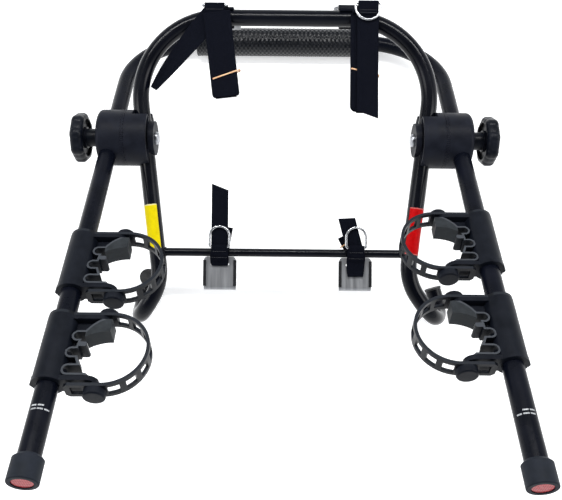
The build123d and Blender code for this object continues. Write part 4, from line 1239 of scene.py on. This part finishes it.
camera_place = (-3.63 * MM, -192.67 * MM, 1056.14 * MM)
camera_turn = (1.36, 0.02, 0.55)
picture_width = 562
focal_pixels = 700

camera_data = bpy.data.cameras.new("camera")
camera_data.sensor_fit = "HORIZONTAL"
camera_data.sensor_width = 36
camera_data.lens = focal_pixels * camera_data.sensor_width / picture_width
camera_data.clip_start = 0.05
camera_data.clip_end = 50
camera_data.dof.use_dof = False
camera = bpy.data.objects.new("camera", camera_data)
bpy.context.scene.collection.objects.link(camera)
turns = Matrix.Identity(4)
for angle, axis in zip(camera_turn, "XYZ"):
    turns = turns @ Matrix.Rotation(radians(angle), 4, axis)
camera.matrix_world = on_frame @ Matrix.Translation(camera_place) @ turns
bpy.context.scene.camera = camera

# White paper lies under the rack, and the air round it is white near the horizon and
# dark overhead, so that the black paint has something dark to mirror.

floor_white = new_finish("floor_white", colour=(0.86, 0.86, 0.86), roughness=0.9)
floor_white.node_tree.nodes["Principled BSDF"].inputs["Specular IOR Level"].default_value = 0.0
floor_glow = 0.5
seen_by = add_node(floor_white.node_tree, "ShaderNodeLightPath").outputs
glow = math_node(
    floor_white.node_tree,
    "MAXIMUM",
    math_node(
        floor_white.node_tree, "MAXIMUM", seen_by["Is Camera Ray"], seen_by["Is Glossy Ray"]
    ),
    seen_by["Is Transmission Ray"],
)
glow = math_node(floor_white.node_tree, "MULTIPLY", glow, floor_glow)
floor_shader = floor_white.node_tree.nodes["Principled BSDF"]
floor_shader.inputs["Emission Color"].default_value = (1, 1, 1, 1)
floor_white.node_tree.links.new(glow, floor_shader.inputs["Emission Strength"])
floor_half = 8.0
floor_mesh = bpy.data.meshes.new("floor")
floor_corners = [
    (-floor_half, -floor_half, -MM),
    (floor_half, -floor_half, -MM),
    (floor_half, floor_half, -MM),
    (-floor_half, floor_half, -MM),
]
floor_mesh.from_pydata(floor_corners, [], [(0, 1, 2, 3)])
floor_mesh.materials.append(floor_white)
floor = bpy.data.objects.new("floor", floor_mesh)
bpy.context.scene.collection.objects.link(floor)

world = bpy.data.worlds.new("studio")
bpy.context.scene.world = world
world.use_nodes = True
air = world.node_tree
background = air.nodes["Background"]
ray = add_node(air, "ShaderNodeLightPath")
seen = math_node(air, "ADD", ray.outputs["Is Camera Ray"], ray.outputs["Is Glossy Ray"])
seen = math_node(air, "ADD", seen, ray.outputs["Is Transmission Ray"])
seen = math_node(air, "MINIMUM", seen, 1.0)
way_up = add_node(
    air,
    "ShaderNodeSeparateXYZ",
    {0: add_node(air, "ShaderNodeTexCoord").outputs["Generated"]},
)
sky = add_node(
    air,
    "ShaderNodeMapRange",
    {"Value": way_up.outputs[2]},
    From_Min=0.25,
    From_Max=0.75,
    To_Min=1.0,
    To_Max=0.12,
)
ambient = 0.7
background.inputs["Color"].default_value = (0.93, 0.96, 1.0, 1)
level = add_node(air, "ShaderNodeMix", {0: seen, 3: sky.outputs[0]})
level.inputs[2].default_value = ambient
air.links.new(level.outputs[0], background.inputs["Strength"])

# Lamps: a long strip behind the foam bar draws the bright lines on the tubes, and a
# soft box at each side fills the hubs and cradles.


def lamp(name, place, target, width, height, power):
    """Area lamp in the vehicle frame's own directions, aimed at a target."""
    data = bpy.data.lights.new(name, "AREA")
    data.shape = "RECTANGLE"
    data.size = width
    data.size_y = height
    data.energy = power
    made = bpy.data.objects.new(name, data)
    bpy.context.scene.collection.objects.link(made)
    start = on_frame @ Vector(place)
    aim = on_frame @ Vector(target) - start
    made.matrix_world = Matrix.Translation(start) @ aim.to_track_quat(
        "-Z", "Y"
    ).to_matrix().to_4x4()
    return made


lamp("strip", place=(0, 0.80, 1.15), target=(0, 0, 0), width=1.7, height=0.1, power=18)
lamp("left_box", place=(-1.35, 0.1, 0.95), target=(0, 0, 0), width=0.5, height=1.0, power=6)
lamp("right_box", place=(1.35, 0.1, 0.95), target=(0, 0, 0), width=0.5, height=1.0, power=6)

bpy.context.scene.view_settings.view_transform = "Standard"
